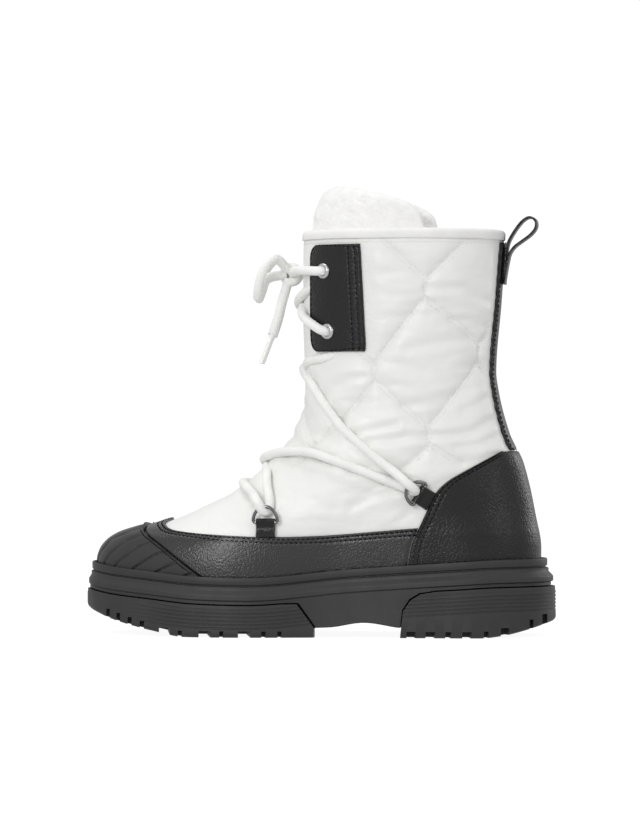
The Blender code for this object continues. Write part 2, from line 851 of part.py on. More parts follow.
def make_rand(material):
    """Mudguard from the counter's front edge on one side, round above the toe cap, to the other."""
    first, step = 70.0, 360.0 / UPPER_COLUMNS
    degrees = np.arange(first - step / 2, 360.0 - first + step, step)
    degrees[1:-1] = np.linspace(first, 360.0 - first, len(degrees) - 2)
    lateral = np.minimum(degrees, 360.0 - degrees)
    top = curve_through(RAND_TOP, lateral)
    edge = [(math.degrees(float(turn_at(level, x))), level) for level, x in TOE_CAP_EDGE]
    foot = np.where(lateral > edge[0][0], curve_through(edge, lateral) + RAND_LIFT, edge[0][1])
    levels = foot[None, :] + np.linspace(0.0, 1.0, 4)[:, None] * (top - foot)[None, :]
    turns = np.radians(np.broadcast_to(degrees, levels.shape)).copy()
    turns[:, 0] = turn_at(levels[:, 0], curve_through(COUNTER_EDGE, levels[:, 0]) - 2 * GAP)
    turns[:, -1] = 2 * math.pi - turns[:, 0]
    sheet("rand", last(levels, turns, OVERLAY_GAP), material, RAND_THICK, True)


def make_back_strip(material):
    levels = np.array(STRIP_LEVELS)
    reach = np.arcsin(STRIP_HALF / girth(5, levels))
    turns = reach[:, None] * np.array([-1.0, 0.0, 1.0])[None, :]
    sheet("back_strip", last(levels[:, None], turns, OVERLAY_GAP), material, STRIP_THICK, True)


def make_eyelet_tab(side, sign, material):
    rows = np.array(TAB_ROWS)
    shares = np.linspace(0.0, 1.0, 6)
    turns = np.radians(rows[:, 1:2] + (rows[:, 2:3] - rows[:, 1:2]) * shares[None, :])
    points = last(rows[:, 0:1], sign * turns, OVERLAY_GAP)
    if sign < 0:
        points = points[:, ::-1]
    sheet("eyelet_tab_" + side, points, material, TAB_THICK, True)


def seat(level, turn, out, lean=0.0):
    """Frame on the last: a point, then directions along the surface, out of it and across it.

    The first direction is upright, or leans forwards by some degrees.
    """
    out_of = Vector(last(level, turn, 1.0) - last(level, turn)).normalized()
    up = Vector((0, 0, 1))
    upright = (up - out_of * up.dot(out_of)).normalized()
    forwards = upright.cross(out_of)
    if forwards.x > 0:
        forwards = -forwards
    along = upright * math.cos(math.radians(lean)) + forwards * math.sin(math.radians(lean))
    return Vector(last(level, turn, out)), along, out_of, along.cross(out_of)


def place(item, point, first, second, third):
    """Stands an object in a frame: its own X, Y and Z run along the three directions."""
    matrix = Matrix((first, second, third)).transposed().to_4x4()
    matrix.translation = Vector(point) * MM
    item.matrix_world = matrix


def flat_outline(name, outlines, half, material):
    """Flat piece: closed outlines in its own XY plane, the later ones holes, thickened along Z."""
    curve = bpy.data.curves.new(name, "CURVE")
    curve.dimensions = "2D"
    curve.fill_mode = "BOTH"
    curve.extrude = half * MM
    for outline in outlines:
        spline = curve.splines.new("POLY")
        spline.points.add(len(outline) - 1)
        spline.use_cyclic_u = True
        for point, (x, y) in zip(spline.points, outline):
            point.co = (x * MM, y * MM, 0.0, 1.0)
    curve.materials.append(material)
    item = bpy.data.objects.new(name, curve)
    parts.objects.link(item)
    item.parent = boot
    return item


def arc(centre, radius, start, stop, count):
    """Points on an arc, with its angles in degrees."""
    angles = np.radians(np.linspace(start, stop, count))
    return [(centre[0] + radius * math.cos(a), centre[1] + radius * math.sin(a)) for a in angles]


def make_ring_tab(name, frame, material):
    """Leather folded round the straight bar of a ring, with its tail flat on the upper."""
    middle = RING_WIRE + GAP
    shell = middle + RING_TAB_THICK / 2
    outline = [(-RING_TAB_REACH, -shell)] + arc((0.0, 0.0), shell, -90.0, 90.0, 7)
    outline.append((-RING_TAB_REACH, -shell + RING_TAB_THICK))
    bore = arc((0.0, 0.0), middle, 0.0, 324.0, 10)
    place(flat_outline(name, [outline, bore], RING_TAB_WIDTH / 2, material), *frame)


def tube(name, points, radius, material, cyclic=False, sides=2):
    """Round wire or cord through points in millimetres."""
    curve = bpy.data.curves.new(name, "CURVE")
    curve.dimensions = "3D"
    curve.bevel_depth = radius * MM
    curve.bevel_resolution = sides
    curve.use_fill_caps = not cyclic
    spline = curve.splines.new("POLY")
    spline.points.add(len(points) - 1)
    spline.use_cyclic_u = cyclic
    for point, place_at in zip(spline.points, points):
        point.co = (*(value * MM for value in place_at), 1.0)
    if material:
        curve.materials.append(material)
    item = bpy.data.objects.new(name, curve)
    parts.objects.link(item)
    item.parent = boot
    return item


def make_d_ring(name, frame, material):
    """Wire ring: a straight bar in the tab and a round bow tilted off the upper."""
    point, along, out_of, across = frame
    tilt = math.radians(RING_TILT)
    rise = along * math.cos(tilt) + out_of * math.sin(tilt)
    path = [(-RING_HALF, 0.0), (0.0, 0.0), (RING_HALF, 0.0)]
    path += [(RING_HALF * u, RING_REACH * v) for u, v in arc((0.0, 0.0), 1.0, 24.0, 156.0, 5)]
    points = [point + across * u + rise * v for u, v in path]
    tube(name, points, RING_WIRE, material, True, 1)


def make_rings(metal, leather):
    for word, x, level, lean in RINGS:
        for side, sign in SIDES:
            turn = sign * float(turn_at(level, x))
            out = RING_WIRE + GAP + RING_TAB_THICK / 2 + OVERLAY_GAP
            point, along, out_of, across = seat(level, turn % (2 * math.pi), out, lean)
            make_ring_tab(f"d_ring_tab_{word}_{side}", (point, along, out_of, across), leather)
            make_d_ring(f"d_ring_{word}_{side}", (point, along, out_of, across), metal)


def make_eyelets(metal):
    for word, x, level in EYELETS:
        for side, sign in SIDES:
            turn = (sign * float(turn_at(level, x))) % (2 * math.pi)
            out = OVERLAY_GAP + TAB_THICK + GAP + EYELET_WIRE
            point, along, out_of, across = seat(level, turn, out)
            bpy.ops.mesh.primitive_torus_add(
                major_segments=10,
                minor_segments=4,
                major_radius=EYELET_RADIUS * MM,
                minor_radius=EYELET_WIRE * MM,
            )
            eyelet = bpy.context.active_object
            eyelet.name = f"eyelet_{word}_{side}"
            eyelet.data.materials.append(metal)
            eyelet.data.shade_smooth()
            for collection in list(eyelet.users_collection):
                collection.objects.unlink(eyelet)
            parts.objects.link(eyelet)
            eyelet.parent = boot
            place(eyelet, point, across, along, out_of)


def make_pull_loop(material):
    """Strap sewn to the back strip by its foot, so that it stands off as a loop."""
    loop = flat_outline("pull_loop", [LOOP_OUTER, LOOP_HOLE], LOOP_WIDTH / 2, material)
    place(loop, (0.0, SIDE_SHIFT, 0.0), Vector((1, 0, 0)), Vector((0, 0, 1)), Vector((0, -1, 0)))


def smooth_path(points, step):
    """Points at even steps on a smooth curve through the given ones."""
    points = np.array(points, float)
    whole = np.vstack([2 * points[0] - points[1], points, 2 * points[-1] - points[-2]])
    t = np.linspace(0.0, 1.0, 12, endpoint=False)[:, None]
    runs = []
    for a, b, c, d in zip(whole, whole[1:], whole[2:], whole[3:]):
        bend = (2 * a - 5 * b + 4 * c - d) + t * (3 * b - 3 * c + d - a)
        runs.append(b + 0.5 * t * ((c - a) + t * bend))
    fine = np.vstack(runs + [points[-1:]])
    travel = np.concatenate([[0.0], np.cumsum(np.linalg.norm(np.diff(fine, axis=0), axis=1))])
    at = np.linspace(0.0, travel[-1], max(3, round(travel[-1] / step) + 1))
    return np.column_stack([np.interp(at, travel, fine[:, k]) for k in range(3)])


def rows_by_place(table):
    """Route rows of turn, level and height above the last, from places along the boot."""
    return [(float(turn_at(level, x)), level, LACE_SEAT) for x, level in table]


def rows_by_turn(table):
    return [(math.radians(turn), level, out) for turn, level, out in table]


def mirrored(rows):
    return [(2 * math.pi - turn, level, out) for turn, level, out in rows]


def lace_path(rows, lift=0.0):
    return smooth_path([last(level, turn, out + lift) for turn, level, out in rows], LACE_STEP)


def as_mesh(item, material=None):
    """Turns a tube into a mesh object: a part if it has a material, or else a cutter."""
    name = item.name
    graph = bpy.context.evaluated_depsgraph_get()
    mesh = bpy.data.meshes.new_from_object(item.evaluated_get(graph))
    bpy.data.objects.remove(item, do_unlink=True)
    welded = bmesh.new()
    welded.from_mesh(mesh)
    bmesh.ops.remove_doubles(welded, verts=welded.verts, dist=0.01 * MM)
    bmesh.ops.recalc_face_normals(welded, faces=welded.faces)
    welded.to_mesh(mesh)
    welded.free()
    return link_mesh(name, mesh, material)


def cross_over(name, rows, material):
    """Two strands, each the other's mirror image, joined where they cross."""
    first = as_mesh(tube(name, lace_path(rows), LACE_RADIUS, material), material)
    second = as_mesh(tube(name + "_other", lace_path(mirrored(rows), CROSS_LIFT), LACE_RADIUS, None))
    cut(first, second, "UNION")


def make_laces(cord):
    vamp = rows_by_place(VAMP_ROUTE)
    middle = (math.pi, VAMP_MIDDLE, LACE_SEAT)
    tube("lace_vamp", lace_path(vamp + [middle] + mirrored(vamp)[::-1]), LACE_RADIUS, cord)
    front, rear = rows_by_place(INSTEP_FRONT), rows_by_place(INSTEP_REAR)
    cross_over("lace_instep", front + [(math.pi, INSTEP_MIDDLE, LACE_SEAT)] + mirrored(rear), cord)
    rear, front = rows_by_place(ANKLE_REAR), rows_by_place(ANKLE_FRONT)
    cross_over("lace_ankle", rear + [(math.pi, ANKLE_MIDDLE, LACE_SEAT)] + mirrored(front), cord)
    start = rows_by_turn(COLLAR_START + (COLLAR_MIDDLE,))
    cross_over("lace_collar", start + mirrored(rows_by_turn(COLLAR_END)), cord)


def beside_knot(row):
    """The place just outside the knot in the direction of a row."""
    row = np.array(row)
    share = math.sqrt(np.sum((row / np.array(KNOT_RADII)) ** 2))
    return row / share + KNOT_CLEAR * row / np.linalg.norm(row)


def make_bow(cord, plastic):
    """Knot between the upper eyelets, then two loops and two ends with their aglets."""
    strand = rows_by_turn(KNOT_ROUTE)
    path = lace_path(strand + rows_by_turn([KNOT_MIDDLE]) + mirrored(strand)[::-1])
    knot = as_mesh(tube("lace_knot", path, LACE_RADIUS, cord), cord)
    middle = last(KNOT_MIDDLE[1], math.radians(KNOT_MIDDLE[0]), KNOT_MIDDLE[2])
    bpy.ops.mesh.primitive_uv_sphere_add(segments=10, ring_count=6, radius=MM)
    ball = as_mesh(bpy.context.active_object)
    ball.matrix_world = Matrix.Translation(Vector(middle) * MM) @ Matrix.Diagonal((*KNOT_RADII, 1.0))
    cut(knot, ball, "UNION")
    for side, sign in SIDES:
        turned = np.array([-1.0, -sign, 1.0])
        loop = [beside_knot(BOW_LOOP[0]), *BOW_LOOP[1:-1], beside_knot(BOW_LOOP[-1])]
        end = [beside_knot(BOW_END[0]), *BOW_END[1:]]
        loop = middle + smooth_path(loop, LACE_STEP) * turned
        end = middle + smooth_path(end, LACE_STEP) * turned
        tip = middle + np.array(BOW_TIP) * turned
        head = end[-1] + (tip - end[-1]) * GAP / np.linalg.norm(tip - end[-1])
        tube("lace_loop_" + side, loop, LACE_RADIUS, cord)
        tube("lace_end_" + side, end, LACE_RADIUS, cord)
        tube("aglet_" + side, [head, tip], AGLET_RADIUS, plastic)


clear_scene()
parts = new_collection("winter_boot")
cutters = new_collection("cutters")
boot = bpy.data.objects.new("boot", None)
parts.objects.link(boot)

RUBBER = new_material("rubber", (0.055, 0.055, 0.058), 0.6)
FOAM = new_material("sole_foam", (0.06, 0.06, 0.063), 0.55)
TOE_RUBBER = new_material("toe_rubber", (0.06, 0.06, 0.062), 0.5)
NYLON = new_material("nylon", (0.83, 0.82, 0.80), 0.4)
FLEECE = new_material("fleece", (0.86, 0.85, 0.82), 0.95)
WEBBING = new_material("webbing", (0.72, 0.70, 0.66), 0.8)
LEATHER = new_material("leather", (0.03, 0.03, 0.032), 0.42)
CORD = new_material("cord", (0.74, 0.72, 0.68), 0.85)
PLASTIC = new_material("plastic", (0.70, 0.69, 0.66), 0.35)
DARK_METAL = new_material("dark_metal", (0.16, 0.16, 0.17), 0.35, 1.0)
SILVER = new_material("silver", (0.72, 0.72, 0.73), 0.28, 1.0)

make_sole(RUBBER, FOAM)
make_upper(NYLON)
make_tongue(FLEECE)
make_insole(FLEECE)
make_binding(WEBBING)
make_toe_cap(TOE_RUBBER)
make_rand(LEATHER)
make_counter(LEATHER)
make_back_strip(LEATHER)
make_pull_loop(LEATHER)
for part_side, part_sign in SIDES:
    make_eyelet_tab(part_side, part_sign, LEATHER)
make_eyelets(SILVER)
make_rings(DARK_METAL, LEATHER)
make_laces(CORD)
make_bow(CORD, PLASTIC)
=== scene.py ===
"""Looks of a left winter boot: quilted nylon, fleece, leather, rubber, metal and lace.

Sizes are millimetres and become metres when a mesh is made. The toe points along -X, the outer
(lateral) side faces -Y, and the boot stands on Z = 0. A point on the last is a level, which is its
height at the ball of the foot, and a turn round the loop: 0 at the back of the heel, pi at the front.
"""

import math

import bmesh
import bpy
import numpy as np
from bpy.props import FloatProperty, FloatVectorProperty, IntProperty, PointerProperty
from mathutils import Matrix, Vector


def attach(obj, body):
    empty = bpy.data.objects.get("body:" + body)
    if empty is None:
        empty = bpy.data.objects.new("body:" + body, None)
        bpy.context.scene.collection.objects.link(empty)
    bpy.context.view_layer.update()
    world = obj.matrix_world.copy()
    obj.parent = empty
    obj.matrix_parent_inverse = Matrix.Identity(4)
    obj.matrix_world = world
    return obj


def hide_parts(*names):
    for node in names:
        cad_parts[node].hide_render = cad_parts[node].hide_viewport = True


bl_info = {
    "name": "Winter Boot Looks",
    "version": (1, 0, 0),
    "blender": (4, 5, 0),
    "location": "View3D > Sidebar > Boot",
    "description": "Dresses a left winter boot in quilted nylon, leather, rubber, fleece and lace",
    "category": "Object",
}

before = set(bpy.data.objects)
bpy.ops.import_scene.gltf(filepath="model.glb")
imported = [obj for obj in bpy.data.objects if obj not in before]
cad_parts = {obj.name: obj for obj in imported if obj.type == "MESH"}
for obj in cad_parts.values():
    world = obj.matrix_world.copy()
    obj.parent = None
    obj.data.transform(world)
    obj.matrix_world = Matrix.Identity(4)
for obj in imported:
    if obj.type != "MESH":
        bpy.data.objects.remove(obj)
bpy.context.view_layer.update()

MM = 0.001
BODY = "root"
IMAGE_HIGH = 813.0
SIDES = (("lateral", 1), ("medial", -1))

# Camera: its turn towards the heel, distance, height, and the size of a pixel at the boot
CAMERA_TURN = 8.0
CAMERA_REACH = 2500.0
CAMERA_HEIGHT = 130.0
CAMERA_AIM = (0.0, 0.0, 135.7)
PIXEL = 0.5974
SENSOR = 36.0

# The last
FEATHER = 25.0
LEVEL_TRUE = 78.0
COLLAR = 239.0
THROAT_FOOT = 142.0
THROAT_HALF = math.radians(10.0)
WALL = 3.0
TOE_SWING = 5.0
SIDE_SHIFT = -1.6
RECESS_SPREAD = 4.1
RECESS_DEPTH = 10.0
LEVEL_LIMIT = 400.0
LEVEL_HALVINGS = 50
LEVEL_STEP = 0.2
TURN_STEP = 0.002
# Places along the boot between which the toe's swing comes in, and levels between which it fades
SWING_REACH = (10.0, 130.0)
SWING_LEVELS = (60.0, 100.0)
# Level from which both sides of the last are alike
SIDES_ALIKE = 110.0
# First of the four width columns of GIRTHS
HEEL_WIDTH = 5
# Points of a smooth path on each of its runs
RUN_POINTS = 16
# Direction that no tube starts along
TUBE_ASIDE = (0.31, 0.53, 0.79)
FRONT = (
    # x, z
    (-132.5, 36.0),
    (-132.6, 44.0),
    (-131.0, 49.5),
    (-127.4, 54.0),
    (-121.0, 58.0),
    (-110.0, 61.6),
    (-95.0, 65.6),
    (-80.0, 71.2),
    (-65.8, 77.6),
    (-51.3, 84.8),
    (-39.2, 93.2),
    (-24.1, 107.4),
    (-16.5, 114.5),
    (-12.5, 124.5),
    (-9.3, 137.0),
    (-8.5, 148.0),
    (-9.7, 190.0),
    (-9.5, 228.0),
    (-8.6, 242.0),
)
BACK = (
    # x, z
    (130.5, 36.0),
    (130.6, 52.0),
    (127.5, 70.4),
    (120.3, 101.5),
    (112.0, 119.0),
    (105.2, 145.0),
    (103.8, 156.0),
    (107.0, 198.0),
    (109.0, 226.0),
    (110.5, 242.0),
)
GIRTHS = (
    # level, heel end, toe end, heel power, toe power, heel, waist, ball, toe
    (25.0, 0.17, 0.25, 2.1, 2.3, 33.0, 33.5, 46.0, 41.5),
    (42.0, 0.18, 0.26, 2.1, 2.3, 34.5, 35.5, 47.0, 42.0),
    (56.0, 0.19, 0.28, 2.1, 2.3, 34.5, 36.5, 45.5, 41.0),
    (66.0, 0.21, 0.34, 2.0, 2.4, 33.5, 37.0, 43.0, 40.0),
    (75.0, 0.24, 0.42, 2.0, 2.4, 32.8, 37.5, 41.5, 39.5),
    (90.0, 0.30, 0.48, 2.0, 2.4, 32.8, 38.0, 40.0, 38.5),
    (110.0, 0.38, 0.50, 2.0, 2.2, 34.0, 38.5, 38.5, 38.0),
    (130.0, 0.46, 0.50, 2.0, 2.0, 36.5, 39.0, 39.0, 38.5),
    (158.0, 0.50, 0.50, 2.0, 2.0, 39.5, 39.5, 39.5, 39.5),
    (200.0, 0.50, 0.50, 2.0, 2.0, 43.5, 43.5, 43.5, 43.5),
    (240.0, 0.50, 0.50, 2.0, 2.0, 47.5, 47.5, 47.5, 47.5),
)
STATIONS = (0.12, 0.42, 0.70, 0.90)
MEDIAL_EXTRA = (0.0, -3.0, 0.0, 3.0)
LIP = (
    # x, z
    (-139.0, 43.4),
    (-121.0, 40.6),
    (-97.0, 38.3),
    (-66.0, 35.6),
    (-36.0, 35.0),
    (24.0, 40.2),
    (84.0, 44.2),
    (114.0, 45.8),
    (138.0, 46.0),
)


def curve_through(table, at):
    """Smooth curve through a table's two columns, with no overshoot, held level past its ends."""
    xs = np.array([row[0] for row in table], float)
    ys = np.array([row[1] for row in table], float)
    steps = np.diff(xs)
    slopes = np.diff(ys) / steps
    tangents = np.zeros_like(ys)
    tangents[0] = slopes[0]
    tangents[-1] = slopes[-1]
    for i in range(1, len(xs) - 1):
        if slopes[i - 1] * slopes[i] > 0:
            tangents[i] = 2 * slopes[i - 1] * slopes[i] / (slopes[i - 1] + slopes[i])
    at = np.clip(np.asarray(at, float), xs[0], xs[-1])
    i = np.clip(np.searchsorted(xs, at) - 1, 0, len(xs) - 2)
    t = (at - xs[i]) / steps[i]
    rise = ys[i] * (1 + 2 * t) * (1 - t) ** 2 + ys[i + 1] * t**2 * (3 - 2 * t)
    lean = tangents[i] * t * (1 - t) ** 2 - tangents[i + 1] * t**2 * (1 - t)
    return rise + steps[i] * lean


def smooth_step(low, high, at):
    """Goes from 0 at low to 1 at high with no corner."""
    t = np.clip((np.asarray(at, float) - low) / (high - low), 0.0, 1.0)
    return t * t * (3 - 2 * t)


def lip_height(x):
    return curve_through(LIP, x)


def height(level, x):
    """True height of a level: it follows the sole's line at the foot and is flat higher up."""
    lift = lip_height(x) - RECESS_DEPTH - FEATHER
    return level + lift * (1 - smooth_step(FEATHER, LEVEL_TRUE, level))


def level_at(x, z):
    """The level whose true height at x is z."""
    low, high = 0.0, LEVEL_LIMIT
    for _ in range(LEVEL_HALVINGS):
        middle = (low + high) / 2
        if height(middle, x) < z:
            low = middle
        else:
            high = middle
    return low


FRONT_LEVELS = [(level_at(x, z), x) for x, z in FRONT]
BACK_LEVELS = [(level_at(x, z), x) for x, z in BACK]


def girth(column, level):
    return curve_through([(row[0], row[column]) for row in GIRTHS], level)


def rounding(share, end, power):
    """Width factor near an end of a loop: 0 at its tip, 1 where the rounding stops."""
    left = np.clip(1 - share / end, 0.0, 1.0)
    return (1 - left**power) ** (1 / power)


def half_width(level, share, medial):
    """Half width of a loop at a share of its length from the heel."""
    side = np.where(medial, 0.5, -0.5) * (1 - smooth_step(FEATHER, SIDES_ALIKE, level))
    widths = [girth(HEEL_WIDTH + k, level) + MEDIAL_EXTRA[k] * side for k in range(4)]
    width = widths[0]
    for k in range(3):
        width = width + (widths[k + 1] - widths[k]) * smooth_step(STATIONS[k], STATIONS[k + 1], share)
    heel = rounding(share, girth(1, level), girth(3, level))
    toe = rounding(1 - share, girth(2, level), girth(4, level))
    return width * heel * toe


def surface(level, turn):
    """Point on the outside of the last."""
    level, turn = np.broadcast_arrays(np.asarray(level, float), np.asarray(turn, float))
    back = curve_through(BACK_LEVELS, level)
    front = curve_through(FRONT_LEVELS, level)
    share = (1 - np.cos(turn)) / 2
    x = back + (front - back) * share
    medial = np.sin(turn) < 0
    swing = TOE_SWING * smooth_step(*SWING_REACH, -x) * (1 - smooth_step(*SWING_LEVELS, level))
    y = SIDE_SHIFT + swing + np.where(medial, 1, -1) * half_width(level, share, medial)
    return np.stack([x, y, height(level, x)], axis=-1)


def last(level, turn, out=0.0):
    """Point at a distance outside the last, along its normal."""
    level, turn = np.asarray(level), np.asarray(turn)
    up = surface(level + LEVEL_STEP, turn) - surface(level - LEVEL_STEP, turn)
    along = surface(level, turn + TURN_STEP) - surface(level, turn - TURN_STEP)
    normal = np.cross(up, along)
    normal /= np.linalg.norm(normal, axis=-1, keepdims=True)
    return surface(level, turn) + normal * np.asarray(out, float)[..., None]


def turn_at(level, x):
    """Turn on the lateral side of a level at a place along the boot."""
    back = curve_through(BACK_LEVELS, level)
    front = curve_through(FRONT_LEVELS, level)
    return np.arccos(np.clip(1 - 2 * (x - back) / (front - back), -1.0, 1.0))


def smooth_path(points, step):
    """Points at even steps on a smooth curve through the given ones."""
    points = np.array(points, float)
    whole = np.vstack([2 * points[0] - points[1], points, 2 * points[-1] - points[-2]])
    t = np.linspace(0.0, 1.0, RUN_POINTS, endpoint=False)[:, None]
    runs = []
    for a, b, c, d in zip(whole, whole[1:], whole[2:], whole[3:]):
        bend = (2 * a - 5 * b + 4 * c - d) + t * (3 * b - 3 * c + d - a)
        runs.append(b + 0.5 * t * ((c - a) + t * bend))
    fine = np.vstack(runs + [points[-1:]])
    travel = travel_along(fine)
    at = np.linspace(0.0, travel[-1], max(3, round(travel[-1] / step) + 1))
    return np.column_stack([np.interp(at, travel, fine[:, k]) for k in range(fine.shape[1])])


def travel_along(points):
    """Length along a path from its start to each of its points."""
    return np.concatenate([[0.0], np.cumsum(np.linalg.norm(np.diff(points, axis=0), axis=1))])


# Sizes and colours that a user would change


class BootLooks(bpy.types.PropertyGroup):
    """Sizes and colours of the boot's finishes."""

    nylon: FloatVectorProperty(
        name="Nylon", description="Colour of the quilted shell", subtype="COLOR", size=3,
        default=(0.855, 0.86, 0.835), min=0.0, max=1.0,
    )
    fleece: FloatVectorProperty(
        name="Fleece", description="Colour of the tongue and lining", subtype="COLOR", size=3,
        default=(0.93, 0.925, 0.91), min=0.0, max=1.0,
    )
    binding: FloatVectorProperty(
        name="Binding", description="Colour of the collar tape", subtype="COLOR", size=3,
        default=(0.88, 0.875, 0.86), min=0.0, max=1.0,
    )
    lace: FloatVectorProperty(
        name="Lace", description="Colour of the lace", subtype="COLOR", size=3,
        default=(0.9, 0.9, 0.88), min=0.0, max=1.0,
    )
    leather: FloatVectorProperty(
        name="Leather", description="Colour of the leather overlays", subtype="COLOR", size=3,
        default=(0.010, 0.010, 0.0102), min=0.0, max=1.0,
    )
    rand: FloatVectorProperty(
        name="Rand", description="Colour of the leather along the foot", subtype="COLOR", size=3,
        default=(0.006, 0.006, 0.0062), min=0.0, max=1.0,
    )
    rubber: FloatVectorProperty(
        name="Rubber", description="Colour of the sole and toe cap", subtype="COLOR", size=3,
        default=(0.03, 0.03, 0.0315), min=0.0, max=1.0,
    )
    ring_metal: FloatVectorProperty(
        name="Ring metal", description="Colour of the lace rings", subtype="COLOR", size=3,
        default=(0.22, 0.22, 0.228), min=0.0, max=1.0,
    )
    eyelet_metal: FloatVectorProperty(
        name="Eyelet metal", description="Colour of the eyelets", subtype="COLOR", size=3,
        default=(0.70, 0.70, 0.71), min=0.0, max=1.0,
    )
    seam_thread: FloatVectorProperty(
        name="Seam thread", description="Colour of the leather's stitches", subtype="COLOR", size=3,
        default=(0.006, 0.006, 0.006), min=0.0, max=1.0,
    )
    puff: FloatProperty(
        name="Puff", description="Rise of the quilting between its seams", unit="LENGTH",
        default=2.6 * MM, min=0.0, max=6 * MM, precision=4,
    )
    lace_width: FloatProperty(
        name="Lace width", description="Diameter of the round lace", unit="LENGTH",
        default=5.5 * MM, min=2 * MM, max=8 * MM, precision=4,
    )
    stitch_pitch: FloatProperty(
        name="Stitch pitch", description="Length from one stitch to the next", unit="LENGTH",
        default=2.9 * MM, min=MM, max=6 * MM, precision=4,
    )
    tuft_seed: IntProperty(name="Tuft seed", description="Seed of the fleece's tufts", default=7, min=0)


# Meshes


def grid_faces(rows, columns, closed=False):
    """Outward quads of a grid with its rows up and its columns along the turn."""
    r, c = np.meshgrid(np.arange(rows - 1), np.arange(columns if closed else columns - 1), indexing="ij")
    after = (c + 1) % columns
    low, high = r * columns, (r + 1) * columns
    return np.stack([low + c, high + c, high + after, low + after], axis=-1)


def add_piece(name, points, faces, finishes, sharp=None):
    """A smooth mesh object from points in millimetres."""
    mesh = bpy.data.meshes.new(name)
    places = (np.asarray(points, float).reshape(-1, 3) * MM).tolist()
    mesh.from_pydata(places, [], [list(map(int, face)) for face in faces])
    mesh.update()
    for material in finishes:
        mesh.materials.append(material)
    mesh.shade_smooth()
    if sharp:
        mesh.set_sharp_from_angle(angle=math.radians(sharp))
    item = bpy.data.objects.new(name, mesh)
    bpy.context.scene.collection.objects.link(item)
    return item


def dress(item, slot, *nodes):
    """Puts a piece on its body and hides the solids that it stands for; the slot it is given is not used."""
    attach(item, BODY)
    if nodes:
        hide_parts(*nodes)
    return item


def bake(item, sharp=None):
    """Applies an object's modifiers to its mesh."""
    graph = bpy.context.evaluated_depsgraph_get()
    evaluated = item.evaluated_get(graph)
    mesh = bpy.data.meshes.new_from_object(evaluated, preserve_all_data_layers=True, depsgraph=graph)
    item.modifiers.clear()
    plain = item.data
    item.data = mesh
    bpy.data.meshes.remove(plain)
    mesh.name = item.name
    mesh.shade_smooth()
    if sharp:
        mesh.set_sharp_from_angle(angle=math.radians(sharp))


def face_outwards(item):
    """Points the faces of a closed mesh outwards."""
    mesh = bmesh.new()
    mesh.from_mesh(item.data)
    bmesh.ops.recalc_face_normals(mesh, faces=mesh.faces)
    mesh.to_mesh(item.data)
    mesh.free()


def closed_sheet(name, outer, inner, finishes):
    """Closed piece between two grids of points, joined round their borders."""
    rows, columns = outer.shape[:2]
    front = grid_faces(rows, columns).reshape(-1, 4)
    back = front[:, ::-1] + rows * columns
    index = np.arange(rows * columns).reshape(rows, columns)
    border = np.concatenate([index[0, :-1], index[:-1, -1], index[-1, :0:-1], index[:0:-1, 0]])
    after = np.roll(border, -1)
    far = rows * columns
    strip = np.stack([border, after, after + far, border + far], axis=-1)
    points = np.concatenate([outer.reshape(-1, 3), inner.reshape(-1, 3)])
    return add_piece(name, points, np.concatenate([front, back, strip]), finishes, 50)


def border_distance(points):
    """Distances of a grid's points from its first and last column and its first and last row."""
    across = np.linalg.norm(np.diff(points, axis=1), axis=2)
    up = np.linalg.norm(np.diff(points, axis=0), axis=2)
    left = np.concatenate([np.zeros((points.shape[0], 1)), np.cumsum(across, axis=1)], axis=1)
    low = np.concatenate([np.zeros((1, points.shape[1])), np.cumsum(up, axis=0)], axis=0)
    return left, left[:, -1:] - left, low, low[-1:, :] - low


def line_distance(points, line):
    """Distance of points in a plane from a polyline."""
    best = np.full(points.shape[:-1], np.inf)
    for a, b in zip(np.array(line[:-1], float), np.array(line[1:], float)):
        run = b - a
        t = np.clip(np.sum((points - a) * run, axis=-1) / np.dot(run, run), 0.0, 1.0)
        best = np.minimum(best, np.linalg.norm(points - a - t[..., None] * run, axis=-1))
    return best


def trough(distance, width):
    return np.exp(-((distance / width) ** 2))


def tube_rings(path, radius, sides, closed=False):
    """Loops of points round a path, with no twist between them."""
    path = np.array(path, float)
    if closed:
        tangents = np.roll(path, -1, axis=0) - np.roll(path, 1, axis=0)
    else:
        tangents = np.gradient(path, axis=0)
    tangents /= np.linalg.norm(tangents, axis=1, keepdims=True)
    aside = np.cross(tangents[0], TUBE_ASIDE)
    rings = []
    angles = np.arange(sides) * 2 * math.pi / sides
    radius = np.broadcast_to(np.asarray(radius, float), (len(path), sides))
    for i, (point, tangent) in enumerate(zip(path, tangents)):
        aside = aside - tangent * np.dot(aside, tangent)
        aside /= np.linalg.norm(aside)
        third = np.cross(tangent, aside)
        ring = np.cos(angles)[:, None] * aside + np.sin(angles)[:, None] * third
        rings.append(point + ring * radius[i][:, None])
    return np.array(rings)


def tube_faces(rings, closed=False, base=0):
    """Faces of a tube, with its open ends filled."""
    count, sides = rings.shape[:2]
    faces = []
    for r in range(count if closed else count - 1):
        here, there = r * sides, (r + 1) % count * sides
        for k in range(sides):
            after = (k + 1) % sides
            faces.append((base + here + k, base + here + after, base + there + after, base + there + k))
    if not closed:
        faces.append([base + k for k in range(sides - 1, -1, -1)])
        faces.append([base + (count - 1) * sides + k for k in range(sides)])
    return faces


# Finishes


def add_node(tree, kind, inputs=(), **settings):
    """Adds a node; its inputs are values or the outputs of other nodes."""
    node = tree.nodes.new(kind)
    for name, value in settings.items():
        setattr(node, name, value)
    for key, value in dict(inputs).items():
        if isinstance(value, bpy.types.NodeSocket):
            tree.links.new(value, node.inputs[key])
        else:
            node.inputs[key].default_value = value
    return node


def math_node(tree, operation, *values):
    """Output of a math node."""
    return add_node(tree, "ShaderNodeMath", enumerate(values), operation=operation).outputs[0]


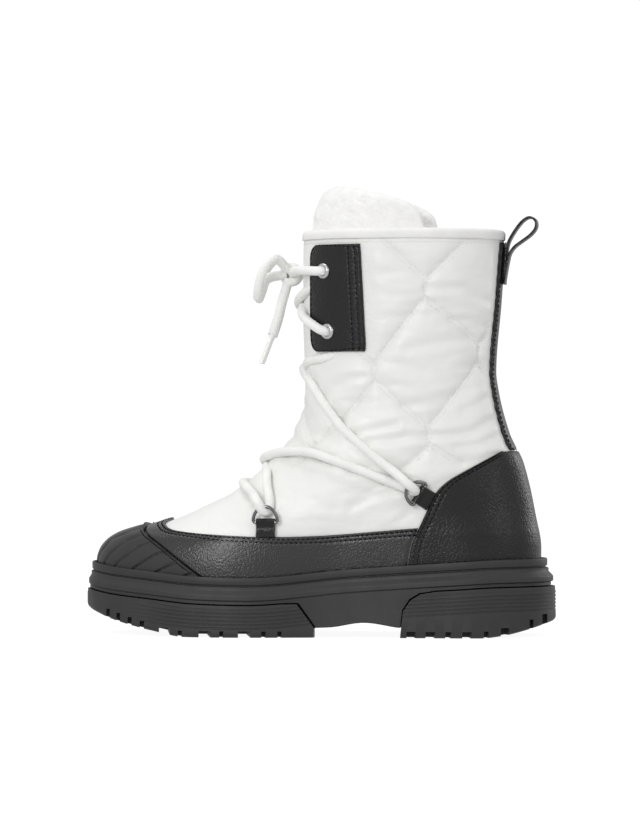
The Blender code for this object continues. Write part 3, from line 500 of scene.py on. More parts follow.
def vector_node(tree, operation, inputs):
    """Output of a vector math node."""
    return add_node(tree, "ShaderNodeVectorMath", inputs, operation=operation).outputs[0]


def new_group(name, sockets, output):
    """An empty shader group with named value inputs and one output."""
    tree = bpy.data.node_groups.new(name, "ShaderNodeTree")
    for label, value in sockets:
        socket = tree.interface.new_socket(name=label, in_out="INPUT", socket_type="NodeSocketFloat")
        socket.default_value = value
    tree.interface.new_socket(name=output, in_out="OUTPUT", socket_type="NodeSocketFloat")
    return tree, tree.nodes.new("NodeGroupInput"), tree.nodes.new("NodeGroupOutput")


def mottle_group():
    """Soft cloudy variation in the boot's own space."""
    sockets = (("Scale", 60.0), ("Detail", 4.0), ("Squeeze", 1.0))
    tree, given, result = new_group("Mottle", sockets, "Value")
    place = add_node(tree, "ShaderNodeTexCoord").outputs["Object"]
    stretch = add_node(tree, "ShaderNodeCombineXYZ", {"X": 1.0, "Y": 1.0, "Z": given.outputs["Squeeze"]})
    spread = vector_node(tree, "MULTIPLY", {0: place, 1: stretch.outputs[0]})
    noise = add_node(
        tree, "ShaderNodeTexNoise",
        {"Vector": spread, "Scale": given.outputs["Scale"], "Detail": given.outputs["Detail"]},
    )
    tree.links.new(noise.outputs["Fac"], result.inputs["Value"])


def pebble_group():
    """Rounded grains with fine lines between them, as on leather."""
    tree, given, result = new_group("Pebble", (("Scale", 900.0),), "Height")
    place = add_node(tree, "ShaderNodeTexCoord").outputs["Object"]
    warp = add_node(tree, "ShaderNodeTexNoise", {"Vector": place, "Scale": 500.0, "Detail": 2.0})
    shift = vector_node(tree, "SCALE", {0: warp.outputs["Color"], "Scale": 0.0012})
    bent = vector_node(tree, "ADD", {0: place, 1: shift})
    cells = add_node(
        tree, "ShaderNodeTexVoronoi",
        {"Vector": bent, "Scale": given.outputs["Scale"], "Smoothness": 0.6}, feature="SMOOTH_F1",
    )
    tree.links.new(math_node(tree, "SUBTRACT", 1.0, cells.outputs["Distance"]), result.inputs["Height"])


def braid_group():
    """Crossing yarns round a cord: U of its map runs along it in centimetres, V goes once round it."""
    tree, given, result = new_group("Braid", (("Along", 2.0), ("Around", 8.0)), "Height")
    place = add_node(tree, "ShaderNodeTexCoord")
    parts = add_node(tree, "ShaderNodeSeparateXYZ", {0: place.outputs["UV"]})
    along = math_node(tree, "MULTIPLY", parts.outputs["X"], given.outputs["Along"])
    around = math_node(tree, "MULTIPLY", parts.outputs["Y"], given.outputs["Around"])
    waves = []
    for operation in ("ADD", "SUBTRACT"):
        angle = math_node(tree, "MULTIPLY", math_node(tree, operation, along, around), 2 * math.pi)
        waves.append(math_node(tree, "SINE", angle))
    tree.links.new(math_node(tree, "MAXIMUM", *waves), result.inputs["Height"])


def use_group(tree, group, **inputs):
    node = tree.nodes.new("ShaderNodeGroup")
    node.node_tree = bpy.data.node_groups[group]
    for name, value in inputs.items():
        node.inputs[name].default_value = value
    return node.outputs[0]


BUMPS = {
    # name: group, its inputs, height in millimetres
    "wrinkle": ("Mottle", {"Scale": 140.0, "Detail": 3.0, "Squeeze": 1.6}, 0.5),
    "weave": ("Mottle", {"Scale": 2600.0, "Detail": 1.0}, 0.05),
    "tape": ("Mottle", {"Scale": 1500.0}, 0.25),
    "pile": ("Mottle", {"Scale": 420.0, "Detail": 4.0}, 0.7),
    "fuzz": ("Mottle", {"Scale": 1900.0, "Detail": 3.0}, 0.25),
    "grain": ("Pebble", {"Scale": 860.0}, 0.22),
    "fine_grain": ("Pebble", {"Scale": 950.0}, 0.17),
    "soft": ("Mottle", {"Scale": 220.0, "Detail": 2.0}, 0.1),
    "pores": ("Mottle", {"Scale": 1800.0, "Detail": 3.0}, 0.06),
    "braid": ("Braid", {"Along": 3.2, "Around": 6.0}, 0.07),
}
COAT, METAL, SHEEN, SHINE = "Coat Weight", "Metallic", "Sheen Weight", "Specular IOR Level"
FINISHES = (
    # name, colour, mask scale and dark share, low and high roughness, bumps, other values
    ("quilted_nylon", "nylon", (28.0, 0.955), (0.36, 0.5), ("wrinkle", "weave"), {SHEEN: 0.1}),
    ("curly_fleece", "fleece", (160.0, 0.93), (0.9, 1.0), ("pile", "fuzz"), {SHEEN: 0.35}),
    ("collar_webbing", "binding", (90.0, 0.93), (0.7, 0.85), ("tape",), {}),
    ("braided_lace", "lace", (120.0, 0.93), (0.75, 0.9), ("braid", "weave"), {SHEEN: 0.2}),
    ("pebbled_leather", "leather", (45.0, 0.75), (0.28, 0.36), ("soft", "grain"), {SHINE: 0.38}),
    ("rand_hide", "rand", (45.0, 0.8), (0.3, 0.39), ("soft", "fine_grain"), {SHINE: 0.8}),
    ("moulded_rubber", "rubber", (70.0, 0.86), (0.44, 0.56), ("pores",), {SHINE: 0.4}),
    ("ribbed_rubber", "rubber", (70.0, 0.86), (0.38, 0.5), ("pores",), {SHINE: 0.42}),
    ("dark_wire", "ring_metal", (200.0, 0.8), (0.1, 0.18), ("pores",), {METAL: 1.0, COAT: 0.6}),
    ("bright_eyelet", "eyelet_metal", (200.0, 0.85), (0.2, 0.34), ("pores",), {METAL: 1.0}),
    ("aglet_plastic", "lace", (150.0, 0.93), (0.25, 0.35), ("pores",), {COAT: 0.3}),
    ("black_thread", "seam_thread", (300.0, 0.7), (0.7, 0.85), ("weave",), {SHINE: 0.15}),
    ("white_thread", "nylon", (300.0, 0.97), (0.6, 0.7), ("fuzz",), {}),
)
MASK_RANGE = (0.3, 0.7)


def new_finish(name, colour, tone, gloss, bumps, constants):
    """A Principled material: colour and roughness vary with a mask, and bumps stack their heights.

    Tone is (mask scale, dark share), gloss is (low, high roughness), bumps are names in BUMPS and
    constants are values of the shader's own sockets.
    """
    material = bpy.data.materials.new(name)
    material.use_nodes = True
    tree = material.node_tree
    shader = tree.nodes["Principled BSDF"]
    for socket, value in constants.items():
        shader.inputs[socket].default_value = value
    scale, dark = tone
    mask = use_group(tree, "Mottle", Scale=scale)
    limits = {"From Min": MASK_RANGE[0], "From Max": MASK_RANGE[1]}
    even = add_node(tree, "ShaderNodeMapRange", {"Value": mask, **limits}).outputs[0]
    shade = [channel * dark for channel in colour]
    mix = add_node(tree, "ShaderNodeMix", {0: even, 6: (*shade, 1.0), 7: (*colour, 1.0)}, data_type="RGBA")
    tree.links.new(mix.outputs[2], shader.inputs["Base Color"])
    rough = add_node(tree, "ShaderNodeMapRange", {"Value": even, "To Min": gloss[1], "To Max": gloss[0]})
    tree.links.new(rough.outputs[0], shader.inputs["Roughness"])
    normal = None
    for group, inputs, height in [BUMPS[bump] for bump in bumps]:
        value = use_group(tree, group, **inputs)
        bump = add_node(tree, "ShaderNodeBump", {"Strength": 1.0, "Distance": height * MM, "Height": value})
        if normal:
            tree.links.new(normal, bump.inputs["Normal"])
        normal = bump.outputs[0]
    if normal:
        tree.links.new(normal, shader.inputs["Normal"])


def finish(name):
    return bpy.data.materials[name]


def make_finishes(looks):
    mottle_group()
    pebble_group()
    braid_group()
    for name, colour, *values in FINISHES:
        new_finish(name, getattr(looks, colour), *values)


# Stage

LIGHTS = (
    # name, place in metres, size in metres, power
    ("Key", (-0.8, -2.1, 1.05), 0.8, 14.0),
    ("Low", (-0.65, -2.3, 0.42), 0.6, 5.5),
    ("Fill", (1.8, -1.2, 0.9), 0.8, 3.0),
    ("Top", (-0.3, 0.1, 1.8), 1.0, 8.0),
    ("Rim", (1.4, 1.3, 0.6), 0.8, 4.5),
)
LIGHTS_AIM = (0.0, 0.0, 0.1)
SKY = 0.64
BACKDROP = 1.05
FLOOR_RADIUS = 6000.0
FLOOR_SIDES = 96
FLOOR_PAPER = {"Emission Color": (1.0, 1.0, 1.0, 1.0), "Emission Strength": 0.93, SHINE: 0.0}


def make_camera(scene):
    data = bpy.data.cameras.new("Camera")
    data.sensor_width = SENSOR
    data.lens = SENSOR * CAMERA_REACH / (PIXEL * IMAGE_HIGH)
    data.shift_y = (CAMERA_AIM[2] - CAMERA_HEIGHT) / (PIXEL * IMAGE_HIGH)
    camera = bpy.data.objects.new("Camera", data)
    turn = math.radians(CAMERA_TURN)
    away = Vector((math.sin(turn), -math.cos(turn), 0.0)) * CAMERA_REACH
    camera.location = (Vector((CAMERA_AIM[0], CAMERA_AIM[1], CAMERA_HEIGHT)) + away) * MM
    camera.rotation_euler = (math.pi / 2, 0.0, turn)
    scene.collection.objects.link(camera)
    scene.camera = camera


def make_lights(scene):
    """An even white sky, brighter where it is the backdrop, and soft round lamps."""
    world = bpy.data.worlds.new("Studio")
    world.use_nodes = True
    sky = world.node_tree.nodes["Background"]
    sky.inputs["Color"].default_value = (1.0, 1.0, 1.0, 1.0)
    rays = add_node(world.node_tree, "ShaderNodeLightPath")
    strength = math_node(
        world.node_tree, "MULTIPLY_ADD", rays.outputs["Is Camera Ray"], BACKDROP - SKY, SKY
    )
    world.node_tree.links.new(strength, sky.inputs["Strength"])
    scene.world = world
    for name, place, size, power in LIGHTS:
        lamp = bpy.data.lights.new(name, "AREA")
        lamp.energy = power
        lamp.shape = "DISK"
        lamp.size = size
        item = bpy.data.objects.new(name, lamp)
        item.location = place
        item.rotation_euler = (Vector(LIGHTS_AIM) - Vector(place)).to_track_quat("-Z", "Y").to_euler()
        scene.collection.objects.link(item)


def make_floor():
    angles = np.arange(FLOOR_SIDES) * 2 * math.pi / FLOOR_SIDES
    rim = np.column_stack([np.cos(angles), np.sin(angles), np.zeros(FLOOR_SIDES)]) * FLOOR_RADIUS
    new_finish("floor_paper", (0.2, 0.2, 0.2), (3.0, 0.99), (0.9, 1.0), (), FLOOR_PAPER)
    floor = add_piece("floor", rim, [range(FLOOR_SIDES)], [finish("floor_paper")])
    floor.visible_diffuse = False
    floor.visible_glossy = False


def make_stage():
    scene = bpy.context.scene
    scene.view_settings.view_transform = "Standard"
    make_camera(scene)
    make_lights(scene)
    make_floor()


# Lace

FRONT_PASS = (
    # x, level, height above the last, extra height of the upper strand
    (-40.5, 87.0, 2.9, 0.0),
    (-36.0, 83.4, 3.6, 0.0),
    (-32.2, 79.6, 6.2, 0.0),
    (-29.6, 76.4, 9.2, 0.0),
    (-27.8, 73.2, 9.8, 0.0),
    (-26.2, 70.9, 6.8, 0.0),
    (-24.2, 71.8, 3.8, 0.0),
    (-23.4, 75.6, 3.0, 0.0),
    (-24.2, 81.0, 2.9, 0.0),
    (-26.0, 88.0, 2.9, 0.2),
    (-27.5, 95.0, 1.8, 1.8),
)
REAR_PASS = (
    # x, level, height above the last, extra height of the upper strand
    (-16.0, 106.8, 1.8, 1.6),
    (0.0, 107.5, 2.2, 0.4),
    (17.0, 102.5, 2.0, 0.0),
    (34.0, 96.5, 2.0, 0.0),
    (49.5, 90.5, 2.3, 0.0),
    (55.4, 88.2, 2.8, 0.0),
    (60.0, 86.2, 3.4, 0.0),
    (62.0, 86.4, 5.4, 0.0),
    (61.0, 88.0, 8.2, 0.0),
    (58.0, 90.8, 9.6, 0.0),
    (54.2, 94.2, 7.6, 0.0),
    (49.4, 97.8, 4.4, 0.0),
    (42.0, 103.0, 2.4, 0.0),
    (30.0, 113.0, 2.0, 0.0),
    (19.0, 123.0, 2.0, 0.0),
    (8.0, 137.0, 2.0, 0.2),
    (-1.0, 150.0, 1.0, 0.8),
)
ANKLE_TUCK = (
    # x, level, height above the last, extra height of the upper strand
    (-6.4, 160.6, -0.8, 2.6),
    (-2.4, 162.6, 1.4, 0.8),
    (4.0, 163.8, 1.2, 0.0),
    (9.5, 165.0, -0.6, 0.0),
    (14.0, 166.8, -2.6, 0.0),
    (17.0, 169.0, -3.4, 0.0),
)
# On the boot's middle: turn, level, height above the last, extra height of the upper strand
VAMP_MIDDLE = (math.pi, 89.0, 1.6, 0.0)
INSTEP_CROSSING = (math.pi, 101.4, 0.0, 4.6)
ANKLE_CROSSING = (math.pi, 157.8, -3.8, 4.8)
LACE_DENTS = (
    # places in side view where the lace presses the shell
    (
        (60.0, 88.0), (49.5, 98.0), (42.0, 103.0), (30.0, 113.0),
        (19.0, 123.0), (8.0, 137.0), (-1.0, 150.0), (-8.0, 158.5),
    ),
    ((-16.0, 106.8), (0.0, 107.5), (17.0, 102.5), (34.0, 96.5), (49.5, 90.5), (57.0, 87.5)),
    ((-27.5, 95.0), (-26.0, 88.0), (-24.2, 81.0), (-23.4, 75.6)),
    ((-40.5, 87.0), (-36.0, 83.4), (-32.2, 79.6), (-29.0, 76.0)),
)
DENT_DEPTH = 1.2
DENT_WIDTH = 3.4
COLLAR_RUN = (
    # turn in degrees, level, height above the last, extra height of the upper strand
    (131.4, 179.8, -1.4, 0.0),
    (131.8, 180.0, 2.4, 0.0),
    (134.6, 181.4, 4.9, 0.0),
    (141.0, 184.4, 5.3, 0.0),
    (149.5, 188.0, 4.8, 0.0),
    (158.0, 191.4, 3.0, 1.0),
    (168.0, 194.6, 0.2, 3.2),
    (180.0, 197.5, -1.6, 4.6),
    (192.0, 200.4, -1.2, 3.2),
    (202.0, 203.0, 0.6, 1.0),
    (209.0, 205.2, 0.2, 0.0),
    (215.0, 207.2, -2.0, 0.0),
)
KNOT_RUN = (
    # turn in degrees, level, height above the last
    (134.4, 215.5, -1.4),
    (134.8, 215.5, 2.4),
    (137.6, 215.6, 4.9),
    (144.0, 215.9, 5.4),
    (152.0, 216.2, 5.4),
    (161.0, 216.3, 5.2),
    (171.0, 215.8, 5.8),
    (180.0, 214.5, 6.6),
)
KNOT_MIDDLE = (180.0, 214.5, 7.5)
KNOT_RADII = (6.5, 7.5, 6.5)
# Radius, half width and end in turns of the strand wound round the knot, which starts at KNOT_START
KNOT_WRAP = (4.4, 3.0, 1.2)
KNOT_START = -0.3
# Share of the knot's radius at which the bow's runs start
BOW_ROOT = 0.6
BOW_LOOP = (
    # forwards, sideways, up from the middle of the knot
    (4.0, 7.0, 7.4),
    (7.0, 13.5, 9.2),
    (11.5, 18.5, 6.0),
    (15.0, 20.5, -1.0),
    (17.0, 19.0, -9.0),
    (18.0, 14.0, -14.0),
    (16.6, 9.4, -9.5),
    (13.6, 7.8, -2.5),
    (9.6, 6.2, 0.5),
)
BOW_END = (
    # forwards, sideways, up from the middle of the knot
    (4.0, 5.4, -9.8),
    (4.6, 7.2, -16.5),
    (6.0, 9.0, -23.5),
    (7.8, 11.0, -30.5),
    (9.6, 13.0, -36.5),
)
BOW_TIP = (16.0, 16.5, -54.0)
AGLET = (
    # place along it from the lace's end, radius
    (-2.4, 2.75),
    (-1.0, 2.5),
    (0.4, 1.75),
    (1.6, 1.45),
    (3.0, 1.35),
    (17.0, 1.35),
    (18.2, 1.2),
)
AGLET_SIDES = 20
# Share of its sideways place by which the medial bow lies further forward
FAR_SHIFT = 0.26
LACE_SIDES = 24
LACE_STEP = 0.7
LACE_RELIEF = 0.035
BRAID_PITCH = 3.1
BRAID_YARNS = 6


def by_place(table):
    return [(float(turn_at(level, x)), level, *rest) for x, level, *rest in table]


def by_turn(table):
    return [(math.radians(turn), *rest) for turn, *rest in table]


def mirrored(rows):
    return [(2 * math.pi - turn, *rest) for turn, *rest in rows]


def lace_points(rows, lifted=False):
    """Places on a strand; the upper one of a crossing is lifted there."""
    return [last(row[1], row[0], row[2] + (row[3] if lifted else 0.0)) for row in rows]


def lace_line(rows, lifted=False):
    return smooth_path(lace_points(rows, lifted), LACE_STEP)


def cord_piece(name, paths, width):
    """One or more braided strands as one piece, with a map that runs along and round them."""
    points, faces, maps = [], [], []
    angles = np.arange(LACE_SIDES) * 2 * math.pi / LACE_SIDES
    base = 0
    for path in paths:
        travel = travel_along(path)
        phase = travel[:, None] * 2 * math.pi / BRAID_PITCH
        braid = np.maximum(np.sin(phase + BRAID_YARNS * angles), np.sin(phase - BRAID_YARNS * angles))
        rings = tube_rings(path, width / 2 * (1 + LACE_RELIEF * (braid - 0.5)), LACE_SIDES)
        points.append(rings.reshape(-1, 3))
        faces += tube_faces(rings, base=base)
        for r in range(len(path) - 1):
            near, far = travel[r] / 10, travel[r + 1] / 10
            for k in range(LACE_SIDES):
                here, there = k / LACE_SIDES, (k + 1) / LACE_SIDES
                maps += [(near, here), (near, there), (far, there), (far, here)]
        maps += [(0.0, k / LACE_SIDES) for k in range(2 * LACE_SIDES)]
        base += len(path) * LACE_SIDES
    item = add_piece(name, np.concatenate(points), faces, [finish("braided_lace")], 60)
    layer = item.data.uv_layers.new(name="Along")
    layer.data.foreach_set("uv", np.array(maps, "f").ravel())
    return item


def beside_knot(row):
    """The place at the knot's side in the direction of a row."""
    row = np.array(row)
    return row / math.sqrt(np.sum((row / np.array(KNOT_RADII)) ** 2))


def knot_middle():
    turn, level, out = KNOT_MIDDLE
    return last(level, math.radians(turn), out)


def metres(points):
    return [tuple(float(value) * MM for value in point) for point in points]


def make_cords(looks):
    """The free runs of the bow: two loops, and two ends with their tips."""
    width = looks.lace_width / MM
    middle = knot_middle()
    for side, sign in SIDES:
        shift = 0.0 if sign > 0 else FAR_SHIFT
        turned = np.array([[-1.0, 0.0, 0.0], [-shift, -sign, 0.0], [0.0, 0.0, 1.0]])
        rows = [beside_knot(BOW_LOOP[0]) * BOW_ROOT, *BOW_LOOP[1:-1], beside_knot(BOW_LOOP[-1]) * BOW_ROOT]
        path = middle + smooth_path(rows, LACE_STEP) @ turned
        loop = dress(cord_piece("lace_loop_" + side + "_cord", [path], width), "cord", "lace_loop_" + side)
        rows = [beside_knot(BOW_END[0]) * BOW_ROOT, *BOW_END[1:]]
        path = middle + smooth_path(rows, LACE_STEP) @ turned
        end = dress(cord_piece("lace_end_" + side + "_cord", [path], width), "cord", "lace_end_" + side)
        tip = middle + np.array(BOW_TIP) @ turned
        reach = np.linalg.norm(tip - path[-1])
        ahead = (tip - path[-1]) / reach
        places = [path[-1] + ahead * min(at, reach) for at, _ in AGLET]
        sizes = np.array([[size] * AGLET_SIDES for _, size in AGLET])
        rings = tube_rings(places, sizes, AGLET_SIDES)
        aglet = add_piece("aglet_" + side + "_tip", rings, tube_faces(rings), [finish("aglet_plastic")], 50)
        dress(aglet, "plastic", "aglet_" + side)


def make_laces(looks):
    """The lace on the boot: from the vamp through the rings and eyelets up to the knot."""
    width = looks.lace_width / MM
    front, rear = by_place(FRONT_PASS), by_place(REAR_PASS)
    whole = [VAMP_MIDDLE, *front, INSTEP_CROSSING, *mirrored(rear), ANKLE_CROSSING, *by_place(ANKLE_TUCK)]
    upper, under = lace_points(mirrored(whole), True), lace_points(whole)
    path = smooth_path(upper[::-1] + under[1:], LACE_STEP)
    dress(cord_piece("lace_lower", [path], width), "cord", "lace_vamp", "lace_instep", "lace_ankle")
    run = by_turn(COLLAR_RUN)
    paths = [lace_line(run), lace_line(mirrored(run), True)]
    dress(cord_piece("lace_collar_run", paths, width), "cord", "lace_collar")
    run = by_turn(KNOT_RUN)
    radius, half, turns = KNOT_WRAP
    angles = np.linspace(KNOT_START, turns, 60) * 2 * math.pi
    wrap = np.column_stack([np.cos(angles) * radius, np.linspace(-half, half, 60), np.sin(angles) * radius])
    paths = [lace_line(run), lace_line(mirrored(run)), smooth_path(knot_middle() + wrap, LACE_STEP)]
    dress(cord_piece("lace_knot_tied", paths, width), "cord", "lace_knot")


# Upper

SHELL_COLUMNS = 288
SHELL_ROWS = 150
SHELL_FOOT = FEATHER + 0.5
SHELL_LOW_SHARE = 0.56
# Under the rand and toe cap the shell is painted dark, as painted shade in the gaps beside them, from this
# turn in degrees and this far below their top
SHADE_SHELL_FROM = 100.0
SHADE_SHELL_MARGIN = 2.2
QUILT_START = 19.6
QUILT_STEP = 34.4
QUILT_RISE = 43.0
QUILT_JOIN = 5.0
QUILT_HEIGHT = 167.0
QUILT_TILT = 0.16
QUILT_PLACES = (
    # length round the shaft from the back, place in the net
    (0.0, -1.6),
    (21.2, 19.6),
    (59.0, 54.0),
    (88.4, 88.4),
    (122.8, 122.8),
    (190.0, 190.0),
)
QUILT_SPAN = 14.0
QUILT_CROWN = 2.2
QUILT_LEVEL = 180.0
# Lowest level, foremost turn in degrees and half spacing of the quilting's stitches
QUILT_FOOT = 104.0
QUILT_FRONT = 166.0
QUILT_ROW_HALF = 1.4
SEAM_DEPTH = 0.5
SEAM_WIDTH = 1.5
PUCKER = 0.6
# Heights between which the quilting comes in above the ankle
ANKLE = (80.0, 104.0)
# Drop below the collar's edge of the seam under its tape
COLLAR_SEAM = 7.0
BINDING_DROP = 4.8
BINDING_HALF = 2.7
# Stands for a place that no overlay is near
FAR_AWAY = 99.0
CREASES = (
    # depth, width, then places in side view
    (1.3, 2.2, ((24.0, 119.0), (38.7, 122.0), (50.0, 124.0))),
    (1.5, 2.4, ((34.0, 115.5), (62.8, 118.5), (82.0, 118.5), (93.0, 120.2), (103.0, 126.6), (110.0, 129.5))),
    (0.8, 2.6, ((57.0, 169.5), (75.0, 173.2), (92.0, 176.5))),
    (0.9, 2.4, ((71.0, 205.0), (90.0, 205.0), (97.0, 200.0), (107.0, 196.0))),
    (0.8, 2.6, ((55.0, 136.0), (67.7, 138.0), (82.0, 141.0), (92.0, 144.5))),
    (0.8, 2.2, ((89.0, 134.0), (97.0, 137.6), (106.0, 142.5))),
    (0.8, 2.6, ((8.0, 142.0), (14.5, 147.9), (21.8, 151.3), (31.0, 153.5))),
    (0.7, 2.2, ((108.0, 117.5), (99.0, 114.0), (86.0, 112.0))),
    (0.7, 2.4, ((25.0, 98.0), (41.0, 102.0), (52.0, 103.0))),
    (0.8, 2.4, ((24.0, 76.5), (36.0, 82.6), (50.0, 85.5))),
    (0.7, 2.2, ((47.0, 64.0), (58.0, 72.0))),
    (1.2, 2.8, ((-13.0, 117.0), (-8.0, 112.0), (1.0, 107.6), (12.0, 103.6))),
    (0.5, 3.0, ((40.0, 186.0), (56.0, 188.5), (68.0, 187.0))),
    (0.5, 3.0, ((42.0, 214.0), (58.0, 216.0), (70.0, 213.0))),
    (0.5, 2.6, ((86.0, 158.0), (97.0, 160.0), (104.0, 158.0))),
    (0.5, 2.6, ((84.0, 186.0), (96.0, 184.5), (105.0, 181.0))),
    (0.5, 3.0, ((34.0, 162.0), (50.0, 160.0), (66.0, 156.0))),
    (0.4, 3.0, ((-20.0, 82.0), (-4.0, 80.0), (14.0, 76.0))),
)


def arc_table():
    """Turn against length round the shaft from the back, on the lateral side."""
    turns = np.linspace(0.0, math.pi, 400)
    return turns, travel_along(surface(QUILT_LEVEL, turns))


def quilt_distance(lateral, z):
    """Distance from the quilting's seams, which form a net of six-sided cells."""
    turns, travel = arc_table()
    s = curve_through(QUILT_PLACES, np.interp(lateral, turns, travel))
    u = np.abs((s - QUILT_START + QUILT_STEP) % (2 * QUILT_STEP) - QUILT_STEP)
    height_in_net = z - QUILT_HEIGHT + QUILT_TILT * (s - QUILT_START)
    v = np.abs((height_in_net + QUILT_RISE) % (2 * QUILT_RISE) - QUILT_RISE)
    cell = ((0.0, 0.0), (0.0, QUILT_JOIN), (QUILT_STEP, QUILT_RISE - QUILT_JOIN), (QUILT_STEP, QUILT_RISE))
    return line_distance(np.stack([u, v], axis=-1), cell)


def shell_relief(level, turn, puff):
    """Rise of the padded shell: quilting and soft creases, flat under the overlays."""
    lateral = np.where(turn > math.pi, 2 * math.pi - turn, turn)
    degrees = np.degrees(lateral)
    plain = surface(level, turn)
    x, z = plain[..., 0], plain[..., 2]
    seam = np.clip(quilt_distance(lateral, z) / QUILT_SPAN, 0.0, 1.0)
    quilted = 1 - (1 - seam) ** QUILT_CROWN
    ankle = smooth_step(*ANKLE, z + 0.35 * np.minimum(x, 30.0) - 4.0)
    relief = (puff * (quilted - 0.55) - SEAM_DEPTH * trough(seam * QUILT_SPAN, SEAM_WIDTH)) * ankle
    places = np.stack([x, z], axis=-1)
    for depth, width, line in CREASES + tuple((DENT_DEPTH, DENT_WIDTH, line) for line in LACE_DENTS):
        away = line_distance(places, line)
        relief -= depth * (trough(away, width) - 0.45 * trough(away - 2.1 * width, width))
    pucker = lumps(plain * (0.35, 0.35, 1.0), 6.0, 5) + lumps(plain * (0.4, 0.4, 1.0), 11.0, 9) - 1.0
    relief += PUCKER * pucker * (0.45 + 0.55 * trough(seam * QUILT_SPAN, 9.0)) * (0.35 + 0.65 * ankle)
    under = smooth_step(2.0, 9.0, distance_from_overlays(level, lateral, x))
    under *= 1 - 0.8 * smooth_step(COLLAR - 16.0, COLLAR - 5.0, level)
    under *= 1 - smooth_step(160.0, 168.0, degrees) * smooth_step(THROAT_FOOT - 12.0, THROAT_FOOT, level)
    return relief * under


def distance_from_overlays(level, lateral, x):
    """Rough distance outside the pieces that lie on the shell, negative under them."""
    degrees = np.degrees(lateral)
    counter = curve_through(COUNTER_EDGE, level) - x
    counter = np.where(level > COUNTER_EDGE[-1][0], FAR_AWAY, counter)
    rand = level - curve_through(RAND_TOP, degrees)
    rear = curve_through([(row[0], row[1]) for row in TAB_ROWS], level)
    tab = np.maximum((rear - degrees) * 0.75, TAB_ROWS[0][0] - level)
    strip = np.where(level > STRIP_FROM, degrees * 0.72 - STRIP_HALF, FAR_AWAY)
    return np.minimum(np.minimum(counter, rand), np.minimum(tab, strip))


def make_shell(looks):
    turns = np.arange(SHELL_COLUMNS) * 2 * math.pi / SHELL_COLUMNS
    low = np.linspace(SHELL_FOOT, THROAT_FOOT, int(SHELL_ROWS * SHELL_LOW_SHARE))
    levels = np.concatenate([low[:-1], np.linspace(THROAT_FOOT, COLLAR, SHELL_ROWS - len(low) + 1)])
    level, turn = np.meshgrid(levels, turns, indexing="ij")
    points = last(level, turn, shell_relief(level, turn, looks.puff / MM))
    quads = grid_faces(len(levels), SHELL_COLUMNS, True)
    middle = np.arange(SHELL_COLUMNS) + 0.5
    slit = np.abs(middle * 2 * math.pi / SHELL_COLUMNS - math.pi) < THROAT_HALF
    keep = ~(slit[None, :] & (levels[:-1, None] >= THROAT_FOOT - 0.01))
    lining = finish("curly_fleece")
    # The third finish, dark leather, is painted shade on the shell under the rand and toe cap
    faces = [finish("quilted_nylon"), lining, finish("pebbled_leather"), lining]
    shell = add_piece("upper_shell", points, quads[keep], faces)
    lateral = np.degrees(np.minimum(turn, 2 * math.pi - turn))
    # Painted shade: shell faces under the rand and toe cap turn dark, so the gaps beside them look shaded
    painted_shade = ((lateral > SHADE_SHELL_FROM) & (level < curve_through(RAND_TOP, lateral) - SHADE_SHELL_MARGIN))[:-1]
    shell.data.polygons.foreach_set("material_index", np.where(painted_shade[keep], 2, 0).astype("i"))
    thickness = shell.modifiers.new("Thickness", "SOLIDIFY")
    thickness.thickness = WALL * MM
    thickness.offset = -1.0
    thickness.material_offset = 1
    bake(shell)
    loose = bmesh.new()
    loose.from_mesh(shell.data)
    bmesh.ops.delete(loose, geom=[v for v in loose.verts if not v.link_faces], context="VERTS")
    loose.to_mesh(shell.data)
    loose.free()
    dress(shell, "nylon", "upper")


def make_binding():
    """Tape folded over the collar's edge."""
    turns = np.linspace(-math.pi + THROAT_HALF, math.pi - THROAT_HALF, 200)
    foot = COLLAR - BINDING_DROP
    arch = []
    for angle in np.linspace(0.0, math.pi, 9):
        arch.append((COLLAR - 1.6 + BINDING_HALF * math.sin(angle), -1.5 + BINDING_HALF * math.cos(angle)))
    section = [(foot, 0.35), (foot, 1.0), (foot + 0.35, 1.25)] + arch
    section += [(foot + 0.35, -4.25), (foot, -4.0), (foot, -3.35), (COLLAR + 0.4, -3.3), (COLLAR + 0.4, 0.3)]
    level = np.array([row[0] for row in section])
    out = np.array([row[1] for row in section])
    rings = last(level[None, :], (turns % (2 * math.pi))[:, None], out[None, :])
    tape = add_piece("collar_tape", rings, tube_faces(rings), [finish("collar_webbing")], 70)
    face_outwards(tape)
    dress(tape, "webbing", "collar_binding")


# Fleece

TONGUE_COLUMNS = 150
TONGUE_SPREAD = math.radians(110.0)
TONGUE_FOOT = 131.0
TONGUE_TURN = COLLAR - 30.0
TONGUE_THICK = 6.0
TONGUE_RISE = 28.0
TONGUE_LEAN = 16.0
TONGUE_TOP = (
    # share of its half width, level of its top edge
    (0.0, COLLAR + TONGUE_RISE),
    (0.35, COLLAR + TONGUE_RISE - 1.5),
    (0.60, COLLAR + 23.0),
    (0.80, COLLAR + 18.5),
    (0.93, COLLAR + 12.0),
    (1.0, COLLAR - 3.0),
)
INSOLE_INSET = -3.7
INSOLE_THICK = 4.0
INSOLE_GAP = 0.3
INSOLE_COLUMNS = 120
INSOLE_STEPS = (
    # inset, rise above its foot
    (0.0, 0.0),
    (0.0, INSOLE_THICK - 1.2),
    (-0.4, INSOLE_THICK - 0.4),
    (-1.2, INSOLE_THICK),
)
WAVES = 9


def lumps(points, size, seed):
    """Smooth lumps of about a size: sums of waves in set directions, from 0 to 1."""
    chance = np.random.default_rng(seed)
    total = np.zeros(points.shape[:-1])
    for _ in range(WAVES):
        direction = chance.normal(size=3)
        direction /= np.linalg.norm(direction)
        bend = chance.normal(size=3) * 0.35 / size
        phase = points @ direction * (2 * math.pi / size) + chance.uniform(0, 2 * math.pi)
        total += np.sin(phase + 1.7 * np.sin(points @ bend + chance.uniform(0, 2 * math.pi)))
    return 0.5 + total / WAVES


